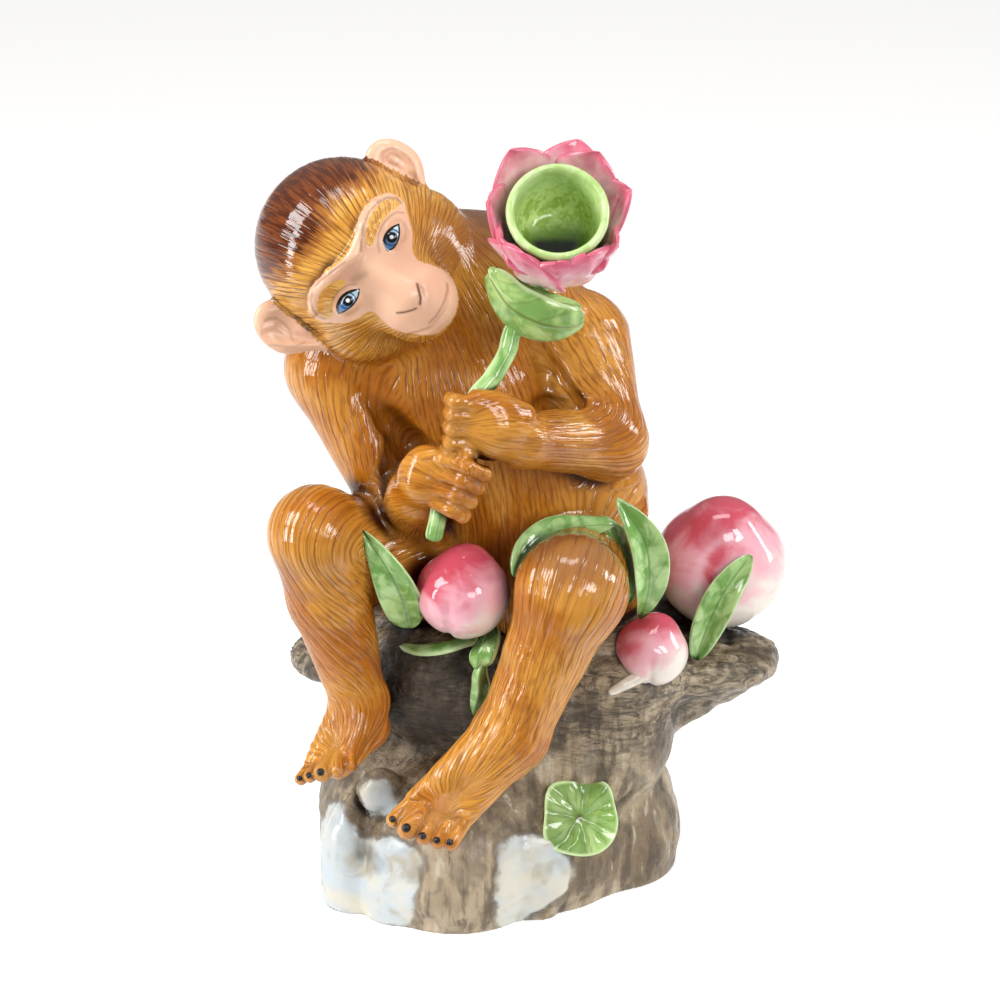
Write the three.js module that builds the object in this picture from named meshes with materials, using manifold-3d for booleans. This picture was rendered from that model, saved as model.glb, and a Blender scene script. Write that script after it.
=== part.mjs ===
// A glazed porcelain candlestick figure: a monkey sits on a tree stump among peaches and holds a
// lotus flower by its stem in both fists. The green cup of the flower is the candle socket.
// Slip-cast in parts, luted together and fired as one, so it is one solid.
// Millimetres, +Z up, the monkey faces -Y. Left and right are the viewer's.
import * as THREE from "three";
import { mergeVertices } from "three/addons/utils/BufferGeometryUtils.js";
import Module from "manifold-3d";

const wasm = await Module();
wasm.setup();

// Driving dimensions

// The stump's flat foot is cut at Z = 0. Below it the modelled rock runs on by this much.
const BELOW_FLOOR = 48;

// The figure is thinned to this many triangles.
const TRIANGLES = 9700;

// The modelling frame has its Z axis on the trunk. This moves the foot's middle to the origin.
const TO_ORIGIN = new THREE.Vector3(-11.98, 23.63, 0);

// Joints of the skeleton, each [x, y, z, flesh radius].
const ARM_LEFT = {
  shoulder: [-59, 1, 206, 20.5],
  elbow: [-36, -22, 156.5, 12.8],
  wrist: [-30, -46, 174, 10],
};
const ARM_RIGHT = {
  shoulder: [29.5, 2, 216, 21.5],
  elbow: [39.5, -21, 185, 13.6],
  wrist: [8, -50, 196, 9],
};
const LEG_LEFT = {
  hip: [-18, 2, 117, 22],
  knee: [-66.5, -45, 158, 17.3],
  calf: [-62.5, -43, 132, 15.2],
  ankle: [-51, -44, 90, 11],
  heel: [-49.5, -42, 78, 7.5],
  ball: [-60, -59, 72, 6],
};
const LEG_RIGHT = {
  hip: [31, 6, 129, 20],
  knee: [25.5, -60, 142, 20],
  calf: [17, -62, 119, 15],
  ankle: [4, -66, 87, 13],
  heel: [3, -60, 76, 9],
  ball: [-20, -79, 64, 7],
};

// Head: its middle, and the directions of its left-to-right line and of its face.
const HEAD = {
  centre: [-54.5, -17, 257],
  across: [0.57, 0.3075, 0.76],
  ahead: [0.28, -0.944, 0.172],
};

// Lotus: the middle of the socket's mouth and the way it points.
const LOTUS = {
  mouth: [19.8, -54, 281.5],
  axis: [0.02, -0.78, 0.62],
  cupRadius: 17.8,
  lipWall: 2.8,
  boreRadius: 11,
  boreDepth: 27,
  height: 42,
};
// Petals: [turn in degrees from the viewer's right, tip's distance from the axis, tip's height
// above the mouth, width].
const PETALS = [
  [127, 27.5, 0, 25],
  [75, 29.5, -5, 26],
  [56, 25.5, 1, 25],
  [33, 25, -5, 20],
  [18, 26.5, -1, 21],
  [-27, 24, -4, 19],
  [-62, 23, -3, 24],
  [-118, 22, -2, 27],
  [-155, 23, -4, 20],
  [171, 25, -1, 24],
];
const STEM_RADIUS = 3.3;
const STEM = [
  [19, -22, 255],
  [12, -34, 244],
  [4.2, -43, 234],
  [2.5, -47, 228],
  [-2.8, -53, 220.6],
  [-8, -57, 215],
  [-13, -60, 203],
  [-18, -61, 190],
  [-21.5, -62, 173],
  [-23.7, -62, 161.6],
];

// Peaches: the middle and radius, the way the tip points, and the way the cleft faces.
const PEACHES = [
  { at: [86, 14, 121.5], radius: 26.2, tip: [-0.1, -0.2, 0.95], cleft: [-0.1, -0.9, -0.2] },
  { at: [-13.3, -47, 135.8], radius: 17.4, tip: [0.15, 0.1, 0.95], cleft: [0.1, -0.9, 0] },
  { at: [57.3, -28, 103.5], radius: 14, tip: [0.45, -0.3, 0.85], cleft: [-0.1, -0.9, 0] },
  { at: [-56, -24, 77], radius: 10.5, tip: [-0.6, -0.3, 0.7], cleft: [-0.3, -0.9, 0] },
];

// Leaves, each along a curve from its foot to its tip: `side` runs across the leaf, `keel` is how
// far the midrib sinks below the edges.
const LEAVES = [
  {
    path: [[-34, -44, 116], [-37, -53, 130], [-43, -56, 147], [-51, -51, 164]],
    side: [1, -0.2, 0.5], width: 18, keel: 3,
  },
  {
    path: [[-6, -35, 113], [-21, -39, 107], [-35, -32, 106]],
    side: [0, -1, 0.1], width: 11, keel: 1.5,
  },
  {
    path: [[-1, -50, 124], [-8, -52, 113], [-9, -47, 102], [-10, -41, 87]],
    side: [1, -0.2, 0.5], width: 14, keel: 2,
  },
  {
    path: [[1.5, -57, 139], [6.5, -51, 152], [21, -42, 158.5], [41, -33, 155]],
    side: [0.3, -0.8, 0.5], width: 15, keel: 2.5,
  },
  {
    path: [[55, -28, 106], [56.5, -33, 127], [54, -35, 147], [42, -34, 167]],
    side: [1, 0.3, 0], width: 15.5, keel: 3.5,
  },
  {
    path: [[48, -34, 126], [47, -34, 142], [38, -30, 159]],
    side: [1, 0.3, 0.2], width: 12, keel: 2,
  },
  {
    path: [[75, -15, 92], [79, -15, 108], [86, -14, 123], [96, -10, 137]],
    side: [0.8, -0.2, -0.5], width: 16, keel: 3.5,
  },
  // The round leaf under the flower is folded: a front half that hangs and a back half that rises.
  {
    path: [[-4.5, -43, 252], [4, -47, 245], [16, -48, 240], [29.5, -43, 241]],
    side: [0.3, -0.3, 1], width: 20, keel: 2, blunt: 0.5,
  },
  {
    path: [[-3, -42, 258], [8, -42, 253], [18, -41, 249], [28, -40, 246]],
    side: [0.1, 1, 0.5], width: 16, keel: 2, blunt: 0.5,
  },
];
const LEAF_THICKNESS = 2.6;

// A lotus leaf lies open on the rock's face: its middle, the way it faces, its radius.
const ROCK_LEAF = { at: [30.5, -45, 41], facing: [0.2, -0.88, 0.42], radius: 15, thick: 6 };
// The stalk of the small peach.
const STALK = [[54, -36, 97, 3], [41, -41, 91.5, 2.7]];

// Small helpers

const vec = (a) => new THREE.Vector3(a[0], a[1], a[2]);
const mix = (a, b, t) => a.map((v, i) => v + (b[i] - v) * t);
const plus = (a, b) => a.map((v, i) => v + b[i]);

// Orthonormal axes from a "z" and a rough "x" direction.
function basis(zDirection, roughX) {
  const z = vec(zDirection).normalize();
  const y = z.clone().cross(vec(roughX)).normalize();
  const x = y.clone().cross(z);
  return new THREE.Matrix4().makeBasis(x, y, z);
}

// Fields: each gives a point's distance from a form's skin, negative inside.

// A ball stretched to three radii, turned by a matrix if it is given one.
function egg(centre, radii, turn = new THREE.Matrix4()) {
  const e = turn.elements;
  const [rx, ry, rz] = radii;
  return (x, y, z) => {
    const dx = x - centre[0];
    const dy = y - centre[1];
    const dz = z - centre[2];
    const u = (e[0] * dx + e[1] * dy + e[2] * dz) / rx;
    const v = (e[4] * dx + e[5] * dy + e[6] * dz) / ry;
    const w = (e[8] * dx + e[9] * dy + e[10] * dz) / rz;
    const reach = Math.hypot(u, v, w);
    const slope = Math.hypot(u / rx, v / ry, w / rz);
    return slope < 1e-9 ? -Math.min(rx, ry, rz) : (reach * (reach - 1)) / slope;
  };
}

// A limb between two joints [x, y, z, radius], which tapers from one radius to the other.
function limb(a, b) {
  const [ax, ay, az, ra] = a;
  const [bx, by, bz, rb] = b;
  const d = [bx - ax, by - ay, bz - az];
  const l2 = d[0] ** 2 + d[1] ** 2 + d[2] ** 2;
  return (x, y, z) => {
    const t = ((x - ax) * d[0] + (y - ay) * d[1] + (z - az) * d[2]) / l2;
    const s = Math.min(1, Math.max(0, t));
    const off = Math.hypot(x - ax - d[0] * s, y - ay - d[1] * s, z - az - d[2] * s);
    return off - (ra + (rb - ra) * s);
  };
}

// A chain of limbs through several joints, one field.
function chain(k, ...joints) {
  return melt(k, ...joints.slice(1).map((j, i) => limb(joints[i], j)));
}

// Several forms run together, with a fillet about k wide where they meet.
function melt(k, ...fields) {
  return (x, y, z) => {
    let d = fields[0](x, y, z);
    for (let i = 1; i < fields.length; i++) {
      const f = fields[i](x, y, z);
      const h = Math.max(k - Math.abs(d - f), 0) / k;
      d = Math.min(d, f) - h * h * k * 0.25;
    }
    return d;
  };
}

// A form with another pressed out of it.
function press(k, body, tool) {
  return (x, y, z) => {
    const a = body(x, y, z);
    const b = -tool(x, y, z);
    const h = Math.max(k - Math.abs(a - b), 0) / k;
    return Math.max(a, b) + h * h * k * 0.25;
  };
}

// Meshing: one vertex for each patch of skin in a cell, and one quad across each cut grid edge.

const CORNERS = [...Array(8).keys()].map((i) => [i & 1, (i >> 1) & 1, (i >> 2) & 1]);
const EDGES = [];
for (let a = 0; a < 8; a++)
  for (const bit of [1, 2, 4]) if (!(a & bit)) EDGES.push([a, a | bit]);
const edgeBetween = (a, b) => EDGES.findIndex((e) => e.includes(a) && e.includes(b));
// Each face as its four corners in order round it.
const FACES = [1, 2, 4].flatMap((bit) => {
  const [p, q] = [1, 2, 4].filter((b) => b !== bit);
  return [0, bit].map((base) => [base, base | p, base | p | q, base | q]);
});

// Which patch each cut edge of a cell belongs to, for each of the 256 patterns of corners inside.
const PATCHES = [...Array(256).keys()].map((inside) => {
  const isIn = (c) => (inside >> c) & 1;
  const patch = EDGES.map((e, i) => (isIn(e[0]) !== isIn(e[1]) ? i : -1));
  const join = (a, b) => {
    const [from, to] = [patch[a], patch[b]];
    patch.forEach((p, i) => p === from && (patch[i] = to));
  };
  for (const face of FACES) {
    const cut = face.map((c, i) => [c, face[(i + 1) % 4]]).filter(([a, b]) => isIn(a) !== isIn(b));
    if (cut.length === 2) join(edgeBetween(...cut[0]), edgeBetween(...cut[1]));
    if (cut.length === 4)
      face.forEach((c, i) => {
        if (!isIn(c)) return;
        join(edgeBetween(face[(i + 3) % 4], c), edgeBetween(c, face[(i + 1) % 4]));
      });
  }
  return patch;
});

// Draws a point onto the skin of a field along the field's slope.
function settle(field, p) {
  const h = 0.05;
  for (let turn = 0; turn < 3; turn++) {
    const [x, y, z] = p;
    const d = field(x, y, z);
    const g = [
      (field(x + h, y, z) - field(x - h, y, z)) / (2 * h),
      (field(x, y + h, z) - field(x, y - h, z)) / (2 * h),
      (field(x, y, z + h) - field(x, y, z - h)) / (2 * h),
    ];
    const steep = Math.max(0.3, g[0] ** 2 + g[1] ** 2 + g[2] ** 2);
    p = p.map((v, i) => v - (0.8 * d * g[i]) / steep);
  }
  return p;
}

// The skin of a field inside a box, sampled at a step and thinned to a number of triangles.
function skin(field, [low, high], step, target) {
  const count = low.map((v, i) => Math.ceil((high[i] - v) / step) + 1);
  const [nx, ny, nz] = count;
  const at = (i, j, k) => i + nx * (j + ny * k);
  const value = new Float64Array(nx * ny * nz);
  for (let k = 0; k < nz; k++)
    for (let j = 0; j < ny; j++)
      for (let i = 0; i < nx; i++)
        value[at(i, j, k)] = field(low[0] + i * step, low[1] + j * step, low[2] + k * step);
  const position = [];
  const vertexOf = new Map();
  for (let k = 0; k < nz - 1; k++)
    for (let j = 0; j < ny - 1; j++)
      for (let i = 0; i < nx - 1; i++) {
        const v = CORNERS.map(([a, b, c]) => value[at(i + a, j + b, k + c)]);
        const inside = v.reduce((m, f, n) => (f < 0 ? m | (1 << n) : m), 0);
        if (inside === 0 || inside === 255) continue;
        const patch = PATCHES[inside];
        for (const p of new Set(patch.filter((n) => n >= 0))) {
          const sum = [0, 0, 0];
          const cut = EDGES.filter((e, n) => patch[n] === p);
          for (const [a, b] of cut) {
            const t = v[a] / (v[a] - v[b]);
            for (const n of [0, 1, 2])
              sum[n] += (CORNERS[a][n] + (CORNERS[b][n] - CORNERS[a][n]) * t) / cut.length;
          }
          const mid = sum.map((s, n) => low[n] + ([i, j, k][n] + s) * step);
          const id = position.push(settle(field, mid)) - 1;
          EDGES.forEach((e, n) => patch[n] === p && vertexOf.set(at(i, j, k) * 12 + n, id));
        }
      }
  const index = [];
  for (let k = 1; k < nz - 1; k++)
    for (let j = 1; j < ny - 1; j++)
      for (let i = 1; i < nx - 1; i++)
        for (const axis of [0, 1, 2]) {
          const unit = [0, 0, 0].map((_, n) => (n === axis ? 1 : 0));
          const here = value[at(i, j, k)] < 0;
          if (here === value[at(i + unit[0], j + unit[1], k + unit[2])] < 0) continue;
          const [p, q] = [(axis + 1) % 3, (axis + 2) % 3];
          // The four cells round this grid edge, and the name of the edge in each.
          const ring = [[0, 0], [1, 0], [1, 1], [0, 1]].map(([a, b]) => {
            const cell = [i, j, k];
            cell[p] -= a;
            cell[q] -= b;
            const corner = (a ? 1 << p : 0) | (b ? 1 << q : 0);
            const edge = edgeBetween(corner, corner | (1 << axis));
            return vertexOf.get(at(...cell) * 12 + edge);
          });
          if (here) ring.reverse();
          // The shorter diagonal keeps folds crisp.
          const far = (a, b) => Math.hypot(...position[a].map((c, n) => c - position[b][n]));
          if (far(ring[0], ring[2]) > far(ring[1], ring[3])) ring.push(ring.shift());
          index.push(ring[0], ring[2], ring[1], ring[0], ring[3], ring[2]);
        }
  const faces = [];
  for (let i = 0; i < index.length; i += 3) faces.push(index.slice(i, i + 3));
  return thin(position, faces, target);
}

// Thins a closed mesh to about a number of triangles. The edges whose loss moves the skin least
// are folded away first, and no fold pinches the mesh or turns a triangle over.
function thin(points, faces, target) {
  const around = points.map(() => new Set());
  faces.forEach((f, i) => f.forEach((v) => around[v].add(i)));
  const normal = ([a, b, c]) => {
    const u = b.map((v, i) => v - a[i]);
    const w = c.map((v, i) => v - a[i]);
    return [u[1] * w[2] - u[2] * w[1], u[2] * w[0] - u[0] * w[2], u[0] * w[1] - u[1] * w[0]];
  };
  const dot = (a, b) => a[0] * b[0] + a[1] * b[1] + a[2] * b[2];
  // Each point keeps the sum of its planes' squared distances, as a symmetric 4 by 4 matrix.
  const squares = points.map(() => new Float64Array(10));
  for (const f of faces) {
    const n = normal(f.map((v) => points[v]));
    const area = Math.sqrt(dot(n, n));
    if (area < 1e-9) continue;
    const u = n.map((v) => v / area);
    const plane = [...u, -dot(u, points[f[0]])];
    for (const v of f)
      for (let i = 0, n = 0; i < 4; i++)
        for (let j = i; j < 4; j++) squares[v][n++] += area * plane[i] * plane[j];
  }
  const loss = (a, b, [x, y, z]) => {
    const q = (n) => squares[a][n] + squares[b][n];
    return (
      q(0) * x * x + 2 * q(1) * x * y + 2 * q(2) * x * z + 2 * q(3) * x +
      q(4) * y * y + 2 * q(5) * y * z + 2 * q(6) * y +
      q(7) * z * z + 2 * q(8) * z + q(9)
    );
  };
  const neighbours = (v) => new Set([...around[v]].flatMap((i) => faces[i]).filter((n) => n !== v));
  const survives = (v, gone, spot) =>
    [...around[v]].every((i) => {
      if (faces[i].includes(gone)) return true;
      const before = normal(faces[i].map((n) => points[n]));
      const corners = faces[i].map((n) => (n === v ? spot : points[n]));
      const after = normal(corners);
      const [was, is] = [before, after].map((v) => Math.sqrt(dot(v, v)));
      const [slim, slimmer] = [faces[i].map((n) => points[n]), corners].map((t, n) => {
        const sides = t.map((c, m) => c.map((x, k) => x - t[(m + 1) % 3][k]));
        return [was, is][n] / Math.max(...sides.map((d) => dot(d, d)));
      });
      return dot(before, after) >= 0.4 * was * is && (slimmer > 0.12 || slimmer > slim);
    });
  let left = faces.length;
  for (let limit = 1e-4; left > target && limit < 1e9; limit *= 1.35) {
    for (let i = 0; i < faces.length && left > target; i++) {
      if (!faces[i]) continue;
      for (const n of [0, 1, 2]) {
        const [a, b] = [faces[i][n], faces[i][(n + 1) % 3]];
        const spots = [0.5, 0, 1].map((t) => points[a].map((v, m) => v + (points[b][m] - v) * t));
        const losses = spots.map((spot) => loss(a, b, spot));
        const best = losses.indexOf(Math.min(...losses));
        const span = points[a].map((v, m) => v - points[b][m]);
        if (losses[best] + 1e-3 * dot(span, span) > limit) continue;
        const ring = neighbours(b);
        if ([...neighbours(a)].filter((v) => ring.has(v)).length !== 2) continue;
        if (!survives(a, b, spots[best]) || !survives(b, a, spots[best])) continue;
        points[a] = spots[best];
        squares[b].forEach((v, m) => (squares[a][m] += v));
        for (const j of around[b]) {
          if (faces[j].includes(a)) {
            faces[j].forEach((v) => v !== b && around[v].delete(j));
            faces[j] = null;
            left--;
          } else {
            faces[j] = faces[j].map((v) => (v === b ? a : v));
            around[a].add(j);
          }
        }
        around[b] = new Set();
        break;
      }
    }
  }
  const kept = faces.filter(Boolean);
  const geometry = new THREE.BufferGeometry();
  geometry.setAttribute("position", new THREE.Float32BufferAttribute(points.flat(), 3));
  geometry.setIndex(kept.flat());
  return geometry;
}

// A solid from a closed geometry, ready to be joined or cut.
function solid(geometry) {
  const g = geometry.index ? geometry.clone() : geometry;
  g.deleteAttribute("normal");
  g.deleteAttribute("uv");
  const merged = mergeVertices(g, 1e-4);
  return new wasm.Manifold(
    new wasm.Mesh({
      numProp: 3,
      vertProperties: new Float32Array(merged.attributes.position.array),
      triVerts: new Uint32Array(merged.index.array),
    }),
  );
}

// Body

function torsoField() {
  return melt(
    14,
    egg([12, 6, 120], [45, 36, 32]),
    egg([13, 6, 150], [44, 32, 42]),
    egg([-8, 6, 192], [43, 32, 42]),
    egg([-4, 15, 224], [36, 27, 34]),
    limb([-10, 10, 232, 27], [-46, -6, 250, 25]),
  );
}

function bodyField() {
  const arm = (a) => melt(7, limb(a.shoulder, a.elbow), limb(a.elbow, a.wrist));
  const leg = (l) => melt(3, limb(l.hip, l.knee), limb(l.knee, l.calf), limb(l.calf, l.ankle));
  const trunk = melt(12, torsoField(), limb(ARM_LEFT.shoulder, [-40, 4, 206, 20]));
  return melt(4, trunk, arm(ARM_LEFT), arm(ARM_RIGHT), leg(LEG_LEFT), leg(LEG_RIGHT));
}

// Head, in its own frame: x across the face, -y ahead of it, z to the crown.

function headFrame() {
  const back = vec(HEAD.ahead).normalize().negate();
  const across = vec(HEAD.across);
  across.addScaledVector(back, -across.dot(back)).normalize();
  const up = back.clone().cross(across).negate();
  return new THREE.Matrix4().makeBasis(across, back, up).setPosition(vec(HEAD.centre));
}

function headField() {
  const both = (make) => [make(-1), make(1)];
  const skull = melt(10, egg([0, 3, 3.2], [31, 31, 29.8]), egg([1.5, 2, -19], [34.5, 19, 23]));
  const ridge = (side) =>
    chain(2, ...[[0, -30.5, 4.5], [10, -30, 7], [18, -25.5, 6.5], [24, -19, 2]].map(
      ([x, y, z]) => [side * x - 2, y, z, 2.1],
    ));
  const face = melt(
    5,
    egg([-2, -9, -6], [25, 21.5, 22]),
    egg([-2, -21, -24], [15, 16, 14.5]),
    egg([-1.5, -24, -31], [11.5, 11, 8.5]),
    limb([-2, -27, -1, 4], [-2, -33, -19, 4.5]),
  );
  let head = melt(2.5, melt(4, skull, face), ...both(ridge));
  for (const side of [-1, 1]) head = press(3, head, egg([side * 13.3 - 2, -35, -4], [8, 6, 5.4]));
  const eyes = both((side) => egg([side * 13.3 - 2, -23.8, -4.5], [6.2, 6.3, 4.4]));
  const nostril = (side) =>
    limb([side * 6 - 2, -36, -20, 0.9], [side * 1.4 - 2, -37.8, -24.5, 0.8]);
  const lips = [[-13, -31, -29], [-6, -35, -32.7], [4, -35.5, -32.7], [9, -31.5, -29]];
  const mouth = chain(0.5, ...lips.map((p) => [...p, 0.8]));
  return press(1, melt(1.5, head, ...eyes), melt(0.5, nostril(-1), nostril(1), mouth));
}

function earField(side) {
  const at = [side * 34.7 - 1.2, 3, 2];
  const shell = melt(3, egg(at, [9.8, 4, 12]), egg(plus(at, [-side * 4, 0, -6]), [7, 5, 10]));
  const hollow = egg(plus(at, [side * 1.5, -5, 1]), [5.6, 4.4, 8.2]);
  return press(1.5, shell, hollow);
}

// Four fingers side by side, from the path of the first to the path of the last.
function fingers(first, last, radius) {
  return [0, 1, 2, 3].map((n) =>
    chain(1, ...first.map((p, i) => [...mix(p, last[i], n / 3), radius])),
  );
}

function handRightField() {
  const palm = melt(
    5,
    egg([-4, -57, 204], [11, 8, 12.5]),
    limb(ARM_RIGHT.wrist, [0, -56, 203, 9]),
    limb([8, -54, 207, 4.5], [-8, -60, 215, 3.4]),
  );
  const curled = fingers(
    [[-4, -62, 215], [-13.5, -64, 215], [-15, -55, 214]],
    [[-4, -62, 199], [-17, -63, 199], [-18, -54, 199]],
    3.1,
  );
  return melt(1.6, palm, ...curled);
}

function handLeftField() {
  const palm = melt(
    5,
    egg([-25.5, -57, 184], [8.5, 7.5, 9.5]),
    limb(ARM_LEFT.wrist, [-27.5, -54, 184, 9]),
    limb([-26, -56, 190.5, 5], [-12, -62, 194, 3.6]),
  );
  const curled = fingers(
    [[-23, -62, 192], [-13, -65.5, 189.5], [-6, -62, 187], [-10, -55, 187]],
    [[-22, -62, 176], [-18, -65, 174.5], [-13.5, -61, 172], [-17, -55, 172.5]],
    2.9,
  );
  return melt(1.6, palm, ...curled);
}

// A foot from ankle to toes: `row` holds the roots of the outer toes, `ahead` a toe's length.
function footField(leg, row, ahead, radius) {
  const toes = [0, 1, 2, 3, 4].map((n) => {
    const root = mix(row[0], row[1], n / 4);
    return limb([...root, radius], [...plus(root, ahead), radius * 0.9]);
  });
  const instep = row.map((root) => limb(leg.ankle, [...root, radius * 1.2]));
  const sole = melt(4, limb(leg.ankle, leg.heel), limb(leg.heel, leg.ball), ...instep);
  return melt(0.8, sole, ...toes);
}

// Stump

function stumpField() {
  const rocks = melt(
    8,
    egg([-45, -14, 24], [26.5, 26, 39]),
    egg([-46, -16, 0], [23, 26, 30]),
    egg([-17, -31, 20], [37, 35, 43]),
    egg([14, -22, 18], [34, 29, 38]),
    egg([38, -4, 14], [34, 29, 43]),
    egg([0, 10, 12], [52, 24, 44]),
  );
  const trunk = melt(
    8,
    egg([-16, -4, 84], [40, 33, 29]),
    egg([-18, -21, 90], [33, 21, 24]),
    egg([44, -12, 90], [27, 26, 20]),
    limb([0, 0, 20, 44], [-4, 4, 66, 41]),
    egg([36, -15, 62], [32, 25, 31]),
    limb([44, 4, 58, 17], [84, 4, 79, 13]),
  );
  const ledge = melt(
    10,
    egg([6, 4, 80], [62, 40, 13]),
    egg([78, 4, 85], [31, 26, 11.5]),
    egg([60, 20, 90], [22, 17, 16]),
    egg([-64, 4, 86], [18, 20, 9]),
  );
  const stump = melt(8, rocks, trunk, ledge);
  // Water-worn lobes on the rock's front.
  return melt(
    3,
    stump,
    egg([-56, -33, 9], [14, 15, 37]),
    egg([-38, -44, 10], [15, 13, 33]),
    egg([13, -48, 18], [14, 7, 22]),
    egg([-46, -42, 51], [9, 6, 9]),
  );
}

function buildStump() {
  const box = [[-105, -85, -BELOW_FLOOR], [130, 75, 125]];
  const raw = solid(skin(stumpField(), box, 4, 1300));
  const floor = new THREE.BoxGeometry(400, 400, 100).translate(0, 0, -50);
  return raw.subtract(solid(floor));
}

// The open leaf on the rock: a dished disc with a rounded-square rim.
function buildRockLeaf() {
  const { at, facing, radius, thick } = ROCK_LEAF;
  const profile = [[0, -thick], [0.9, -thick], [1, 0], [0.75, 1.2], [0.3, 0], [0, -1.2]];
  const disc = new THREE.LatheGeometry(
    profile.map(([r, h]) => new THREE.Vector2(r * radius, h)),
    16,
  ).rotateX(Math.PI / 2);
  const p = disc.attributes.position;
  for (let i = 0; i < p.count; i++) {
    const turn = Math.atan2(p.getY(i), p.getX(i));
    const swell = 1 + 0.06 * Math.cos(4 * turn + Math.PI);
    p.setXYZ(i, p.getX(i) * swell, p.getY(i) * swell, p.getZ(i));
  }
  return solid(disc.applyMatrix4(basis(facing, [1, 0, 0]).setPosition(vec(at))));
}

function buildStalk() {
  const [a, b] = STALK;
  const box = [-1, 1].map((way) =>
    [0, 1, 2].map((i) => way * (5 + Math.max(way * a[i], way * b[i]))),
  );
  return solid(skin(limb(a, b), box, 1.5, 60));
}

// Leaves and petals

// A closed blade along a curve of points, wide across `side`. Its midrib sinks by `keel`.
function blade({ path, side, width, keel, thick = LEAF_THICKNESS, steps = 6, blunt = 0.75 }) {
  const curve = new THREE.CatmullRomCurve3(path.map(vec));
  const across = vec(side).normalize();
  const section = [[-1, 0], [-0.3, -1], [0.3, -1], [1, 0], [0.3, 1], [-0.3, 1]];
  const rings = [];
  for (let i = 1; i < steps; i++) {
    const t = i / steps;
    const along = curve.getTangentAt(t);
    const face = across.clone().cross(along).normalize();
    const wide = along.clone().cross(face).normalize();
    const swell = Math.sin(Math.PI * t) ** blunt;
    rings.push(
      section.map(([w, h]) =>
        curve
          .getPointAt(t)
          .addScaledVector(wide, (w * width * swell) / 2)
          .addScaledVector(face, (h * thick) / 2 + keel * swell * (Math.abs(w) - 0.5)),
      ),
    );
  }
  return solid(tubeThrough(curve.getPointAt(0), rings, curve.getPointAt(1)));
}

// A closed skin through rings of points, drawn to a point at both ends.
function tubeThrough(start, rings, end) {
  const size = rings[0].length;
  const points = [start, ...rings.flat(), end];
  const id = (ring, n) => 1 + ring * size + (n % size);
  const last = rings.length - 1;
  const index = [];
  for (let n = 0; n < size; n++) {
    index.push(0, id(0, n), id(0, n + 1));
    index.push(points.length - 1, id(last, n + 1), id(last, n));
    for (let r = 0; r < last; r++) {
      index.push(id(r, n), id(r + 1, n), id(r, n + 1));
      index.push(id(r, n + 1), id(r + 1, n), id(r + 1, n + 1));
    }
  }
  const geometry = new THREE.BufferGeometry().setFromPoints(points);
  geometry.setIndex(index);
  return geometry;
}

function lotusFrame() {
  return basis(LOTUS.axis, [1, 0, 0]).setPosition(vec(LOTUS.mouth));
}

// The socket: a lathed cup with a rounded lip, its bore tapering to a floor.
function buildCup() {
  const { cupRadius: r, lipWall, boreRadius, boreDepth, height } = LOTUS;
  const profile = [
    [0, -height],
    [9, -height + 1],
    [14, -height + 12],
    [r - 1.5, -10],
    [r, -2],
    [r - 1, 0],
    [r - lipWall, -0.6],
    [r - lipWall - 0.8, -4],
    [boreRadius, -boreDepth + 2],
    [0, -boreDepth],
  ].map(([x, y]) => new THREE.Vector2(x, y));
  const cup = new THREE.LatheGeometry(profile, 20).rotateX(Math.PI / 2);
  return solid(cup.applyMatrix4(lotusFrame()));
}

function buildPetal([degrees, reach, rise, width]) {
  const frame = lotusFrame();
  const a = (degrees * Math.PI) / 180;
  const place = (r, h) =>
    new THREE.Vector3(r * Math.cos(a), r * Math.sin(a), h).applyMatrix4(frame).toArray();
  const side = new THREE.Vector3(-Math.sin(a), Math.cos(a), 0).transformDirection(frame);
  const { height, cupRadius } = LOTUS;
  return blade({
    path: [
      place(6, 2 - height),
      place(15, -height * 0.68),
      place(cupRadius + 2, -height * 0.3),
      place(reach, rise),
    ],
    side: side.toArray(),
    width,
    keel: -4,
    blunt: 0.45,
  });
}

function buildStem() {
  const curve = new THREE.CatmullRomCurve3(STEM.map(vec));
  const section = new THREE.Shape().absarc(0, 0, STEM_RADIUS, 0, 2 * Math.PI);
  return solid(
    new THREE.ExtrudeGeometry(section, { steps: 10, curveSegments: 4, extrudePath: curve }),
  );
}

// Peaches: a ball drawn out to a tip, with a cleft down one side.
function buildPeach({ at, radius, tip, cleft }) {
  const ball = new THREE.IcosahedronGeometry(1, radius > 20 ? 3 : 2);
  const p = ball.attributes.position;
  for (let i = 0; i < p.count; i++) {
    const v = new THREE.Vector3().fromBufferAttribute(p, i).normalize();
    const turn = Math.atan2(v.y, v.x);
    const groove = 0.08 * Math.exp(-((turn / 0.25) ** 2)) * (1 - v.z ** 8);
    const point = 0.1 * Math.max(0, v.z) ** 8;
    v.multiplyScalar(radius * (1 + point - groove));
    p.setXYZ(i, v.x, v.y, v.z);
  }
  return solid(ball.applyMatrix4(basis(tip, cleft).setPosition(vec(at))));
}

// The figure

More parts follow.
